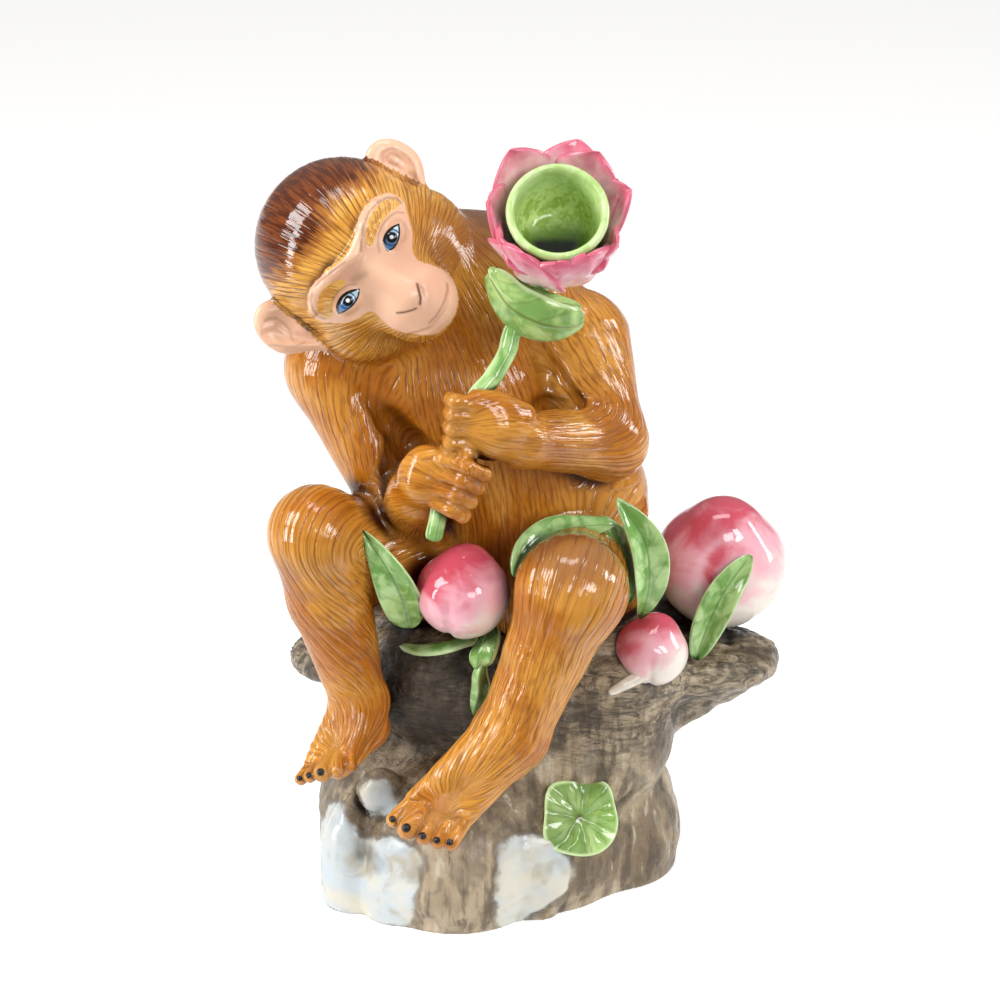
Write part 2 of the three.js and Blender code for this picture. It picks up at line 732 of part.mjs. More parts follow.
const inHead = (geometry) => geometry.applyMatrix4(headFrame());
const earBox = (side) => [[side * 35 - 16, -12, -20], [side * 35 + 16, 18, 19]];
const moulded = [
  buildStump(),
  solid(skin(bodyField(), [[-100, -100, 70], [85, 62, 290]], 3.6, 1650)),
  solid(inHead(skin(headField(), [[-50, -55, -52], [50, 50, 48]], 1.7, 1300))),
  ...[-1, 1].map((side) => solid(inHead(skin(earField(side), earBox(side), 1.5, 110)))),
  solid(skin(handRightField(), [[-32, -78, 180], [26, -38, 228]], 1.3, 350)),
  solid(skin(handLeftField(), [[-48, -78, 160], [8, -34, 206]], 1.3, 350)),
  solid(
    skin(
      footField(LEG_LEFT, [[-69, -58, 71], [-54, -63, 75]], [-3, -7.5, -4], 2.8),
      [[-90, -90, 50], [-25, -20, 112]],
      1.4,
      300,
    ),
  ),
  solid(
    skin(
      footField(LEG_RIGHT, [[-31, -79, 67.5], [-10, -82, 62]], [-5, -8, -4.5], 3.2),
      [[-55, -110, 35], [25, -40, 108]],
      1.4,
      320,
    ),
  ),
];
const modelled = [
  buildCup(),
  ...PETALS.map(buildPetal),
  buildStem(),
  ...PEACHES.map(buildPeach),
  ...LEAVES.map(blade),
  buildRockLeaf(),
  buildStalk(),
];

const joined = [...moulded, ...modelled].reduce((whole, piece) => whole.add(piece));

const { vertProperties, triVerts } = joined.getMesh();
const triples = (flat) =>
  Array.from({ length: flat.length / 3 }, (_, i) => [...flat.slice(3 * i, 3 * i + 3)]);
const geometry = thin(triples(vertProperties), triples(triVerts), TRIANGLES);
geometry.computeVertexNormals();

const glaze = new THREE.MeshStandardMaterial({ color: 0xb5701f, roughness: 0.15, metalness: 0 });
const figure = new THREE.Mesh(geometry, glaze);
figure.name = "monkey_figure";
figure.position.copy(TO_ORIGIN);

const group = new THREE.Group();
group.add(figure);
export default group;
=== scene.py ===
# %% [markdown]
# # A porcelain monkey with a lotus candlestick
#
# The real object is one hollow porcelain casting, glazed all over: a monkey on a tree stump, four
# peaches, their leaves, and a lotus flower whose green cup takes a candle. Everything was modelled
# in clay first, so every form is soft, and the fine work is combed or pressed into it.
#
# This lesson sculpts the same forms with distance fields, takes their skin as a mesh, combs the
# fur and the bark into that skin, and finishes it with glazes made from shader nodes.

import bpy
import numpy as np
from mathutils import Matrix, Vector


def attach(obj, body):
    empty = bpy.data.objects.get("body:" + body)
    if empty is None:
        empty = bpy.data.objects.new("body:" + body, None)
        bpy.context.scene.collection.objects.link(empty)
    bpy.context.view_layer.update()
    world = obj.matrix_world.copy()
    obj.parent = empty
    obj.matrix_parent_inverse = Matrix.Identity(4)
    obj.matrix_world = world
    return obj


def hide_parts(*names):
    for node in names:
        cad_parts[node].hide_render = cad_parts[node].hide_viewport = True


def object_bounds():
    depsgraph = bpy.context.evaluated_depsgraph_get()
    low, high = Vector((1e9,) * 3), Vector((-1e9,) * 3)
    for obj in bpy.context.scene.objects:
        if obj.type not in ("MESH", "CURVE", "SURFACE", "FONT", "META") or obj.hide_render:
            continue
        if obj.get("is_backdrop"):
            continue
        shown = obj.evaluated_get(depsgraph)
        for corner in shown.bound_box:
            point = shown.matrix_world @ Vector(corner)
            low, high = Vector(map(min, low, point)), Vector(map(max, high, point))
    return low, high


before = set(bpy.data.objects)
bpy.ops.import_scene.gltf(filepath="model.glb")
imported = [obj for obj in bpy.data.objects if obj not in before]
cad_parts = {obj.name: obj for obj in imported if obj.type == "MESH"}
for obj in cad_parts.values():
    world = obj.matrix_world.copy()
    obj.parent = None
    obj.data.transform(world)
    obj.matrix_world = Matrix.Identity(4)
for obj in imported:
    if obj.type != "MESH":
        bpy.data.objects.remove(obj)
cad_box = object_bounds()
MM = 0.001
# The figure is modelled with its Z axis on the trunk. This moves its foot's middle to the origin.
TO_ORIGIN = np.array([-11.98, 23.63, 0.0])
print("CAD box", [[round(v, 4) for v in corner] for corner in cad_box])

# %% [markdown]
# ## Camera
#
# The photograph looks down on the figure a little. A long lens from 0.95 m keeps the perspective
# mild. Placing the camera by a target, an elevation and a distance keeps those three readable.

# %% Camera
ELEVATION = np.radians(22)
DISTANCE = 0.95
TARGET = Vector((*(TO_ORIGIN[:2] * MM), 0.153))


def looking_at(obj, place, target):
    """Puts an object at a place and turns its -Z axis to a target."""
    obj.location = place
    obj.rotation_mode = "QUATERNION"
    obj.rotation_quaternion = (Vector(target) - Vector(place)).to_track_quat("-Z", "Y")
    bpy.context.scene.collection.objects.link(obj)
    return obj


lens = bpy.data.cameras.new("camera")
lens.lens = 90
lens.sensor_width = 36
back = Vector((0, -np.cos(ELEVATION), np.sin(ELEVATION)))
camera = looking_at(bpy.data.objects.new("camera", lens), TARGET + back * DISTANCE, TARGET)
bpy.context.scene.camera = camera
print("camera at", [round(v, 3) for v in camera.location])

# %% [markdown]
# ## Clay as distance fields
#
# A potter adds balls and rolls of clay and smooths the joins with a thumb. A distance field does
# the same in numbers. Each form tells how far a point is from its skin, negative inside, and
# `melt` runs forms together with a fillet. Fields are easy to blend and to press into, which
# meshes aren't, so the whole figure is sculpted this way before any mesh exists.


# %% Fields
def egg(centre, radii, turn=None):
    """A ball stretched to three radii, turned by three axes if they are given."""
    centre, radii = np.array(centre, float), np.array(radii, float)

    def field(x, y, z):
        d = (x - centre[0], y - centre[1], z - centre[2])
        if turn is not None:
            d = tuple(sum(axis[i] * d[i] for i in range(3)) for axis in turn)
        q = [d[i] / radii[i] for i in range(3)]
        reach = np.sqrt(q[0] ** 2 + q[1] ** 2 + q[2] ** 2)
        slope = np.sqrt(sum((q[i] / radii[i]) ** 2 for i in range(3)))
        return reach * (reach - 1) / np.maximum(slope, 1e-9)

    return field


def limb(a, b):
    """A roll of clay between two joints [x, y, z, radius]."""
    a, b = np.array(a, float), np.array(b, float)
    d = b[:3] - a[:3]

    def field(x, y, z):
        e = (x - a[0], y - a[1], z - a[2])
        s = np.clip((e[0] * d[0] + e[1] * d[1] + e[2] * d[2]) / (d @ d), 0, 1)
        off = np.sqrt(sum((e[i] - d[i] * s) ** 2 for i in range(3)))
        return off - (a[3] + (b[3] - a[3]) * s)

    return field


def melt(k, *fields):
    """Several forms run together, with a fillet about k wide where they meet."""

    def field(x, y, z):
        d = fields[0](x, y, z)
        for other in fields[1:]:
            f = other(x, y, z)
            h = np.maximum(k - np.abs(d - f), 0) / k
            d = np.minimum(d, f) - h * h * k * 0.25
        return d

    return field


def chain(k, *joints):
    """Rolls through several joints, one field."""
    return melt(k, *[limb(a, b) for a, b in zip(joints, joints[1:])])


def press(k, body, tool):
    """A form with another pressed out of it."""

    def field(x, y, z):
        a, b = body(x, y, z), -tool(x, y, z)
        h = np.maximum(k - np.abs(a - b), 0) / k
        return np.maximum(a, b) + h * h * k * 0.25

    return field


def unit(v):
    v = np.array(v, float)
    return v / np.linalg.norm(v)


def axes_of(z_direction, rough_x):
    """Orthonormal x, y and z axes from a z direction and a rough x."""
    z = unit(z_direction)
    y = unit(np.cross(z, rough_x))
    return np.array([np.cross(y, z), y, z])


# %% [markdown]
# ## The skin of a field
#
# A field becomes a mesh by surface nets: space is cut into small cells, each cell that the skin
# runs through gets one vertex, and neighbouring vertices make quads. Most cells are far from the
# skin, so whole blocks of them are skipped. The vertices are then slid onto the exact skin.


# %% Skin
def sample(field, low, count, step, block=8):
    """Field values on a grid of blocks, exact only in the blocks that the skin runs near."""
    start = [low[i] + step * block * np.arange(count[i]) for i in range(3)]
    corner = np.stack(np.meshgrid(*start, indexing="ij"), -1).astype(np.float32)
    half = step * (block - 1) / 2
    rough = field(*np.moveaxis(corner + half, -1, 0))
    value = np.empty((*count, block, block, block), np.float32)
    value[...] = rough[..., None, None, None]
    near = np.argwhere(np.abs(rough) < 1.7 * step * block)
    o = (np.arange(block) * step).astype(np.float32)
    for part in np.array_split(near, max(1, len(near) // 120)):
        x, y, z = (corner[tuple(part.T)][:, i, None, None, None] for i in range(3))
        value[tuple(part.T)] = field(x + o[:, None, None], y + o[:, None], z + o)
    return value.transpose(0, 3, 1, 4, 2, 5).reshape([n * block for n in count])


def slope(field, p, h=0.05):
    """The field's gradient at points, from four samples."""
    corners = np.array([[1, 1, 1], [1, -1, -1], [-1, 1, -1], [-1, -1, 1]], float)
    return sum(c * field(*(p + h * c).T)[:, None] for c in corners) / (4 * h)


def settle(field, p, turns=2):
    """Slides points onto the skin."""
    for _ in range(turns):
        g = slope(field, p)
        steep = np.maximum((g**2).sum(1), 0.3)
        p = p - (field(*p.T) / steep)[:, None] * g
    return p


def net(field, low, high, step):
    """The skin of a field inside a box, as points and quads."""
    low = np.array(low, float)
    count = np.ceil((np.array(high) - low) / step / 8).astype(int)
    value = sample(field, low, count, step)
    inside = value < 0
    n = np.array(value.shape) - 1
    corners = [(a, b, c) for a in (0, 1) for b in (0, 1) for c in (0, 1)]
    filled = sum(inside[a : a + n[0], b : b + n[1], c : c + n[2]].astype(np.int8) for a, b, c in corners)
    mixed = (filled > 0) & (filled < 8)
    cell = np.argwhere(mixed)
    v = [value[tuple((cell + c).T)] for c in corners]
    total, hits = np.zeros(cell.shape), np.zeros(len(cell))
    for i, a in enumerate(corners):
        for j, b in enumerate(corners):
            if j <= i or sum(abs(p - q) for p, q in zip(a, b)) != 1:
                continue
            cut = (v[i] < 0) != (v[j] < 0)
            t = np.where(cut, v[i] / np.where(cut, v[i] - v[j], 1), 0)
            total += np.where(cut[:, None], np.array(a) + np.outer(t, np.subtract(b, a)), 0)
            hits += cut
    points = low + (cell + total / hits[:, None]) * step
    index = np.full(n, -1)
    index[mixed] = np.arange(len(cell))
    turns = ((0, 0), (1, 0), (1, 1), (0, 1))
    unit_step = np.eye(3, dtype=int)
    quads = []
    for axis in range(3):
        p, q = (axis + 1) % 3, (axis + 2) % 3
        here = inside[:-1, :-1, :-1]
        there = np.roll(inside, -1, axis)[:-1, :-1, :-1]
        edge = here != there
        for side in (p, q):
            edge[tuple(0 if i == side else slice(None) for i in range(3))] = False
        e = np.argwhere(edge)
        ring = np.stack([index[tuple((e - a * unit_step[p] - b * unit_step[q]).T)] for a, b in turns], 1)
        flip = here[tuple(e.T)]
        ring[~flip] = ring[~flip][:, ::-1]
        quads.append(ring[(ring >= 0).all(1)])
    return settle(field, points), np.concatenate(quads)


def tidy(points, faces, keep):
    """Drops the faces that aren't kept, and the points that no face uses."""
    faces = faces[keep]
    used = np.zeros(len(points), bool)
    used[faces] = True
    return points[used], (np.cumsum(used) - 1)[faces], used


def normals_of(points, faces):
    """Smooth normals of a quad mesh."""
    a, b = points[faces[:, 2]] - points[faces[:, 0]], points[faces[:, 3]] - points[faces[:, 1]]
    n = np.cross(a, b)
    total = np.zeros_like(points)
    for i in range(4):
        for k in range(3):
            total[:, k] += np.bincount(faces[:, i], n[:, k], len(points))
    return total / np.maximum(np.linalg.norm(total, axis=1), 1e-9)[:, None]


# %% [markdown]
# ## Noise
#
# Hand work is never even. One noise function, smooth and seeded, drives every irregularity of the
# shapes, so the figure comes out the same each time.


# %% Noise
def noise(p, seed=0):
    """Smooth noise from -1 to 1 at points, one bump a unit."""
    cell = np.floor(p).astype(np.int64)
    f = p - cell
    f = f * f * (3 - 2 * f)
    total = np.zeros(len(p))
    for a, b, c in ((a, b, c) for a in (0, 1) for b in (0, 1) for c in (0, 1)):
        h = (cell[:, 0] + a) * 374761393 + (cell[:, 1] + b) * 668265263 + (cell[:, 2] + c) * 2147483647
        h = (h + seed * 974634777) & 0xFFFFFFFF
        h = ((h ^ (h >> 13)) * 1274126177) & 0xFFFFFFFF
        h = ((h ^ (h >> 16)) * 2246822519) & 0xFFFFFFFF
        value = ((h ^ (h >> 15)) & 0xFFFFFF) / 0x7FFFFF - 1
        weight = np.prod([f[:, i] if on else 1 - f[:, i] for i, on in enumerate((a, b, c))], axis=0)
        total += weight * value
    return total


def turbulence(p, octaves=3, seed=0):
    """Noise with finer noise on it."""
    return sum(noise(p * 2.03**i, seed + i) * 0.5**i for i in range(octaves))


def smoothstep(a, b, x):
    t = np.clip((x - a) / (b - a), 0, 1)
    return t * t * (3 - 2 * t)


# %% [markdown]
# ## Curves
#
# Stems, leaves and combing follow smooth lines through a few points. Blender has curve objects,
# but these meshes need the points themselves, so the spline is worked out as an array.

# %% Curves
def spline(points, n):
    """Points evenly spaced along a smooth curve through a few points."""
    p = np.array(points, float)
    p = np.vstack([2 * p[0] - p[1], p, 2 * p[-1] - p[-2]])
    dt = np.sqrt(np.maximum(np.linalg.norm(np.diff(p, axis=0), axis=1), 1e-6))
    dense = []
    for i in range(1, len(p) - 2):
        t = np.linspace(0, 1, 40, endpoint=i == len(p) - 3)[:, None]
        x0, x1, x2, x3 = p[i - 1 : i + 3]
        d0, d1, d2 = dt[i - 1 : i + 2]
        m1 = ((x1 - x0) / d0 - (x2 - x0) / (d0 + d1) + (x2 - x1) / d1) * d1
        m2 = ((x2 - x1) / d1 - (x3 - x1) / (d1 + d2) + (x3 - x2) / d2) * d1
        dense.append(
            (2 * t**3 - 3 * t**2 + 1) * x1
            + (t**3 - 2 * t**2 + t) * m1
            + (3 * t**2 - 2 * t**3) * x2
            + (t**3 - t**2) * m2
        )
    dense = np.vstack(dense)
    run = np.concatenate([[0], np.cumsum(np.linalg.norm(np.diff(dense, axis=0), axis=1))])
    at = np.linspace(0, run[-1], n)
    return np.stack([np.interp(at, run, dense[:, i]) for i in range(dense.shape[1])], 1)


# %% [markdown]
# ## Into Blender
#
# A piece reaches Blender once, as whole arrays, which is quicker than adding points one by one.
# What its glaze has to know about a point goes along as an attribute.

# %% Meshes in Blender
def make_piece(name, points, faces, body="root", **attributes):
    """A smooth mesh from points in the modelling frame in millimetres, with named attributes."""
    mesh = bpy.data.meshes.new(name)
    size = faces.shape[1]
    mesh.vertices.add(len(points))
    mesh.vertices.foreach_set("co", ((points + TO_ORIGIN) * MM).astype(np.float32).ravel())
    mesh.loops.add(faces.size)
    mesh.loops.foreach_set("vertex_index", faces.astype(np.int32).ravel())
    mesh.polygons.add(len(faces))
    mesh.polygons.foreach_set("loop_start", np.arange(0, faces.size, size, dtype=np.int32))
    mesh.update(calc_edges=True)
    mesh.validate()
    mesh.shade_smooth()
    for key, data in attributes.items():
        is_vector = data.ndim == 2
        made = mesh.attributes.new(key, "FLOAT_VECTOR" if is_vector else "FLOAT", "POINT")
        made.data.foreach_set("vector" if is_vector else "value", data.astype(np.float32).ravel())
    piece = bpy.data.objects.new(name, mesh)
    bpy.context.scene.collection.objects.link(piece)
    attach(piece, body)
    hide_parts("monkey_figure")
    print(f"{name}: {len(mesh.loop_triangles) or faces.shape[0] * (size - 2)} triangles")
    return piece


# %% [markdown]
# ## The skeleton
#
# The pose is a list of joints. Each joint has a place and the radius of the flesh round it, in
# millimetres. Left and right are the viewer's.

# %% Joints
ARM_LEFT = {
    "shoulder": [-59, 1, 206, 20.5],
    "elbow": [-36, -22, 156.5, 12.8],
    "wrist": [-30, -46, 174, 10],
}
ARM_RIGHT = {
    "shoulder": [28, 2, 214.5, 21],
    "elbow": [39.5, -21, 185, 13.6],
    "wrist": [8, -50, 196, 9.8],
}
LEG_LEFT = {
    "hip": [-18, 2, 117, 22],
    "knee": [-66.5, -45, 158, 17.3],
    "calf": [-62.5, -43, 132, 15.2],
    "ankle": [-52.5, -44, 90, 10],
    "heel": [-49.5, -42, 78, 7.5],
    "ball": [-60, -59, 72, 6],
}
LEG_RIGHT = {
    "hip": [31, 6, 129, 20],
    "knee": [25.5, -60, 142, 20],
    "calf": [17, -62, 119, 15],
    "ankle": [4, -66, 87, 13],
    "heel": [3, -60, 76, 9],
    "ball": [-20, -79, 64, 7],
}
HEAD_CENTRE = np.array([-54.5, -17, 257])
HEAD_ACROSS = [0.57, 0.3075, 0.76]
HEAD_AHEAD = [0.28, -0.944, 0.172]
print("joints:", sum(map(len, (ARM_LEFT, ARM_RIGHT, LEG_LEFT, LEG_RIGHT))))

# %% [markdown]
# ## Body, hands and feet
#
# The modeller rolled trunk and limbs and ran them together. Here eggs make the trunk, tapered
# rolls the limbs, and thin tools press the creases. Fingers and toes are short rolls laid side by
# side, which leaves the grooves between them, where painted lines would look flat.

# %% Body
torso = melt(
    14,
    egg([12, 6, 120], [45, 36, 32]),
    egg([13, 6, 150], [44, 32, 42]),
    egg([-8, 6, 192], [43, 32, 42]),
    egg([-4, 15, 224], [36, 27, 34]),
    limb([-10, 10, 232, 27], [-46, -6, 250, 25]),
)


def arm(a):
    return melt(7, limb(a["shoulder"], a["elbow"]), limb(a["elbow"], a["wrist"]))


def leg(joints):
    bones = (("hip", "knee"), ("knee", "calf"), ("calf", "ankle"))
    return melt(3, *[limb(joints[a], joints[b]) for a, b in bones])


trunk = melt(12, torso, limb(ARM_LEFT["shoulder"], [-40, 4, 206, 20]))
body = melt(4, trunk, arm(ARM_LEFT), arm(ARM_RIGHT), leg(LEG_LEFT), leg(LEG_RIGHT))
CREASES = [
    [[-50, -21, 204, 0.8], [-41, -20.5, 192, 3], [-33, -19.5, 183, 5], [-26, -24, 176, 6]],
    [[-38, -24, 183, 3], [-38, -29, 177, 3], [-40, -36, 171, 2.5]],
    [[12, -15.5, 223, 1], [19, -18.5, 209.5, 3], [25, -25, 199, 4.5], [17, -21, 196, 4.5]],
]
for crease in CREASES:
    body = press(5, body, chain(3, *crease))


def between(a, b, t):
    return [p + (q - p) * t for p, q in zip(a, b)]


def fingers(first, last, radius):
    """Four fingers side by side, from the path of the first to the path of the last."""
    return [chain(1, *[[*between(p, q, n / 3), radius] for p, q in zip(first, last)]) for n in range(4)]


hand_right = melt(
    1.6,
    melt(
        5,
        egg([-4, -57, 204], [11, 8, 12.5]),
        limb(ARM_RIGHT["wrist"], [0, -56, 203, 9]),
        limb([8, -54, 207, 4.5], [-8, -60, 215, 3.4]),
    ),
    *fingers(
        [[-6, -60.5, 213.5], [-15.5, -63, 215.3], [-17.3, -55, 213.3]],
        [[-7, -59.5, 198], [-17, -62, 199.4], [-18.3, -54, 197.6]],
        2.75,
    ),
)
hand_left = melt(
    1.6,
    melt(
        5,
        egg([-26, -57, 184], [8, 7, 9.5]),
        limb(ARM_LEFT["wrist"], [-27.5, -54, 184, 9]),
        limb([-26, -56, 190.5, 5], [-12, -62, 194, 3.6]),
    ),
    *fingers(
        [[-19.5, -62, 193.4], [-11.2, -66, 192.1], [-5.6, -63, 188.3], [-6.5, -56, 186]],
        [[-22.5, -62, 177], [-16.9, -65, 175.5], [-13.1, -62, 172.3], [-14, -55, 170]],
        2.75,
    ),
)


def foot(joints, row, tips):
    """A foot from ankle to toes: `row` holds the roots of the outer toes, `tips` each toe's end."""
    roots = [between(row[0], row[1], n / 4) for n in range(5)]
    toes = [limb([*r, t[3]], t) for r, t in zip(roots, tips)]
    instep = [limb(joints["ankle"], [*r, 3.6]) for r in row]
    sole = melt(4, limb(joints["ankle"], joints["heel"]), limb(joints["heel"], joints["ball"]), *instep)
    return melt(0.8, sole, *toes)


def nails(tips):
    """The nails, on the toes' upper front."""
    lean, size = np.array([-0.1, -0.6, 0.42]), 0.42
    return melt(0.1, *[egg(t[:3] + lean * t[3], [t[3] * size] * 3) for t in tips])


TOES_LEFT = [
    [-73.3, -66, 68.9, 2.3], [-69.7, -68, 71.2, 2.5], [-65.1, -70, 73.5, 3.3],
    [-59.6, -70, 74.8, 2.9], [-55, -68, 75.4, 2.6],
]
TOES_RIGHT = [
    [-38.4, -86, 63, 2.8], [-33.2, -89, 61, 3.9], [-27.4, -90, 58.4, 3.1],
    [-22.4, -90, 56.6, 2.9], [-17.7, -89, 55.2, 2.9],
]
foot_left = foot(LEG_LEFT, [[-69, -59, 72], [-55, -62, 78]], TOES_LEFT)
foot_right = foot(LEG_RIGHT, [[-31, -79, 67.5], [-12, -81, 62]], TOES_RIGHT)
all_nails = melt(0.1, nails(TOES_LEFT[:3]), nails(TOES_RIGHT))
fur_body = melt(0.3, melt(2.5, body, hand_right, hand_left, foot_left, foot_right), all_nails)

# %% [markdown]
# ## Head and ears
#
# The head leans to the viewer's right. It's modelled in its own frame, X across the face, Y to
# the back and Z up, because a head that looks straight ahead is easier to judge. The eyes lie in
# pressed hollows under a ridge, and each ear is a ball with a bowl and a fold.

# %% Head
back_of_head = -unit(HEAD_AHEAD)
across_head = unit(np.array(HEAD_ACROSS) - np.dot(HEAD_ACROSS, back_of_head) * back_of_head)
up_head = -np.cross(back_of_head, across_head)
HEAD_AXES = np.array([across_head, back_of_head, up_head])
print("head axes", HEAD_AXES.round(2).tolist())


def both(make):
    return [make(-1), make(1)]


def brow_ridge(side):
    joints = [[0, -30.5, 4.5], [10, -30, 7], [18, -25.5, 6.5], [24, -19, 2]]
    return chain(2, *[[side * x - 2, y, z, 2.1] for x, y, z in joints])


skull = melt(10, egg([0, 3, 3.2], [31, 31, 29.8]), egg([1.5, 2, -19], [34.5, 19, 23]))
muzzle = melt(
    5,
    egg([-2, -9, -6], [25, 21.5, 22]),
    egg([-2, -21, -24], [15, 16, 14.5]),
    egg([-1.5, -24, -31], [11.5, 11, 8.5]),
    limb([-2, -27, -1, 4], [-2, -33, -19, 4.5]),
)
head = melt(2.5, melt(4, skull, muzzle), *both(brow_ridge))
for side in (-1, 1):
    head = press(3, head, egg([side * 13.3 - 2, -35, -4], [8, 6, 5.4]))
head = melt(1.5, head, *both(lambda side: egg([side * 13.3 - 2, -23.8, -4.5], [6.2, 6.3, 4.4])))


def nostril(side):
    return limb([side * 5.4 - 3.6, -36.6, -20.6, 0.3], [side * 1.6 - 3.6, -38.3, -24.3, 0.3])


lips = [[-13, -31, -29], [-7, -35.2, -32.9], [3, -35.7, -32.9], [8, -31.5, -29]]
head = press(2, head, melt(0.5, *both(nostril), chain(0.5, *[[*p, 0.2] for p in lips])))


def ear(side):
    """A leaf-shaped ear with a bowl, a fold in the bowl and a lobe that runs down to the cheek."""
    at = np.array([side * 34.9 - 1.2, 3, 2.5])

    def near(x, y, z):
        return at + [side * x, y, z]

    shell = melt(3, egg(at, [9, 3.6, 11.5]), limb([*near(1, 0, -3), 6.2], [*near(-3.5, -2, -16), 2.6]))
    shell = press(2, shell, egg(near(1, -5.4, 1.5), [5.8, 3.9, 8]))
    shell = press(1.5, shell, limb([*near(0, -5, -6), 2.2], [*near(-2.5, -5.5, -12), 1.2]))
    fold = chain(1, [*near(4.6, -1.6, 6), 0.6], [*near(1.6, -1.2, 3.5), 0.7], [*near(1.8, -1.2, -3), 0.6])
    return melt(1.5, shell, fold)


head = melt(2, head, ear(-1), ear(1))


def to_head(p):
    """Points in the modelling frame, seen from the head's own frame."""
    return (p - HEAD_CENTRE) @ HEAD_AXES.T


def from_head(p):
    return p @ HEAD_AXES + HEAD_CENTRE


def head_in_place(x, y, z):
    d = (x - HEAD_CENTRE[0], y - HEAD_CENTRE[1], z - HEAD_CENTRE[2])
    return head(*[sum(axis[i] * d[i] for i in range(3)) for axis in HEAD_AXES])


# %% [markdown]
# ## Tree stump
#
# The figure sits on a trunk with a broad ledge, whose foot swells into rocks. Wide fillets give the
# washed look, and the floor cuts the clay flat, as a potter's knife does.

# %% Stump
rocks = melt(
    8,
    egg([-45, -14, 24], [26.5, 26, 39]),
    egg([-46, -16, 0], [23, 26, 30]),
    egg([-17, -31, 20], [37, 35, 43]),
    egg([14, -22, 18], [34, 29, 38]),
    egg([38, -4, 14], [34, 29, 43]),
    egg([0, 10, 12], [52, 24, 44]),
)
wood = melt(
    8,
    egg([-16, -4, 84], [40, 33, 29]),
    egg([-18, -21, 90], [33, 21, 24]),
    egg([44, -12, 90], [27, 26, 20]),
    limb([0, 0, 20, 44], [-4, 4, 66, 41]),
    egg([36, -15, 62], [32, 25, 31]),
    egg([-44, 6, 99], [13, 12, 14]),
    limb([44, 4, 58, 17], [84, 4, 79, 13]),
)
ledge = melt(
    10,
    egg([6, 4, 80], [62, 40, 13]),
    egg([78, 4, 85], [31, 26, 11.5]),
    egg([60, 20, 90], [22, 17, 16]),
    egg([-64, 4, 86], [18, 20, 9]),
)
stump = melt(
    3,
    melt(8, rocks, wood, ledge),
    egg([-56, -33, 9], [14, 15, 37]),
    egg([-38, -44, 10], [15, 13, 33]),
    egg([13, -48, 18], [14, 7, 22]),
    egg([-46, -42, 51], [9, 6, 9]),
)


def stump_on_floor(x, y, z):
    return np.maximum(stump(x, y, z), -z)


# %% [markdown]
# ## Combing
#
# The modeller dragged a comb along each limb, so the fur is rows of nearly parallel grooves. A
# smooth path runs through each limb, and every point of the skin knows the nearest path, its turn
# round it and how far along it lies. A whole number of grooves then fits round each path. The
# torso has one set of coordinates, A, and the limbs another, B, and a share fades from one to the
# other, which keeps the shoulders and hips free of seams.

# %% Combing paths
STRETCH = 6.0
# The noise of one path doesn't repeat on the next, because their coordinates lie this far apart.
APART = 7.7
TORSO_PATHS = [[[6, 4, 90, 32], [4, 4, 130, 32], [-2, 8, 180, 32], [-12, 8, 218, 28], [-24, 2, 250, 24]]]
LIMB_PATHS = [
    [[-52, 6, 228, 19], ARM_LEFT["shoulder"], ARM_LEFT["elbow"], ARM_LEFT["wrist"], [-10, -66, 182, 8]],
    [[24, 8, 244, 19], ARM_RIGHT["shoulder"], ARM_RIGHT["elbow"], ARM_RIGHT["wrist"], [-22, -64, 208, 8]],
    [LEG_LEFT[k] for k in ("hip", "knee", "calf", "ankle")] + [[-66, -72, 72, 7]],
    [LEG_RIGHT[k] for k in ("hip", "knee", "calf", "ankle")] + [[-34, -94, 58, 8]],
]


def along_paths(points, paths, twist):
    """Distance to the nearest path's flesh, and coordinates round and along that path."""
    best, coords = np.full(len(points), 1e9), np.zeros(points.shape)
    for which, joints in enumerate(paths):
        line = spline(joints, 150)
        for _ in range(3):
            line[4:-4] = np.mean([line[i : len(line) - 8 + i] for i in range(9)], axis=0)
        along = np.gradient(line[:, :3], axis=0)
        along /= np.linalg.norm(along, axis=1)[:, None]
        side = np.empty_like(along)
        carried = np.array([0.3, -1, 0.2])
        for i, a in enumerate(along):
            carried = unit(carried - a * (a @ carried))
            side[i] = carried
        run = np.concatenate([[0], np.cumsum(np.linalg.norm(np.diff(line[:, :3], axis=0), axis=1))])
        mean = line[:, 3].mean()
        for part in np.array_split(np.arange(len(points)), max(1, len(points) // 8000)):
            off = np.linalg.norm(points[part, None] - line[:, :3], axis=2)
            i = off.argmin(1)
            far = (off - line[:, 3]).min(1)
            past = ((points[part] - line[i, :3]) * along[i]).sum(1)
            j = np.clip(i + np.where(past > 0, 1, -1), 0, len(line) - 1)
            beyond = ((points[part] - line[j, :3]) * along[j]).sum(1)
            inside = (past * beyond < 0) & (i != j)
            t = np.where(inside, past / np.where(inside, past - beyond, 1), 0)[:, None]
            d = points[part] - line[i, :3] - t * (line[j, :3] - line[i, :3])
            ahead, aside = (table[i] + t * (table[j] - table[i]) for table in (along, side))
            x, y = (d * aside).sum(1), (d * np.cross(ahead, aside)).sum(1)
            reach = run[i] + t[:, 0] * (run[j] - run[i]) + np.where(inside, 0, past)
            turn = np.arctan2(y, x) + reach * twist[which]
            local = np.stack(
                [mean * np.cos(turn), mean * np.sin(turn), reach / STRETCH + which * APART], 1
            )
            near = far < best[part]
            best[part[near]] = far[near]
            coords[part[near]] = local[near]
    return best, coords


def comb(points, paths_a=TORSO_PATHS, paths_b=LIMB_PATHS, twist=(-0.01, 0.01, 0.034, 0.004)):
    """The two sets of combed coordinates at points, and B's share."""
    far_a, a = along_paths(points, paths_a, (0,))
    far_b, b = along_paths(points, paths_b, twist)
    return a, b, smoothstep(-4, 4, far_a - far_b)


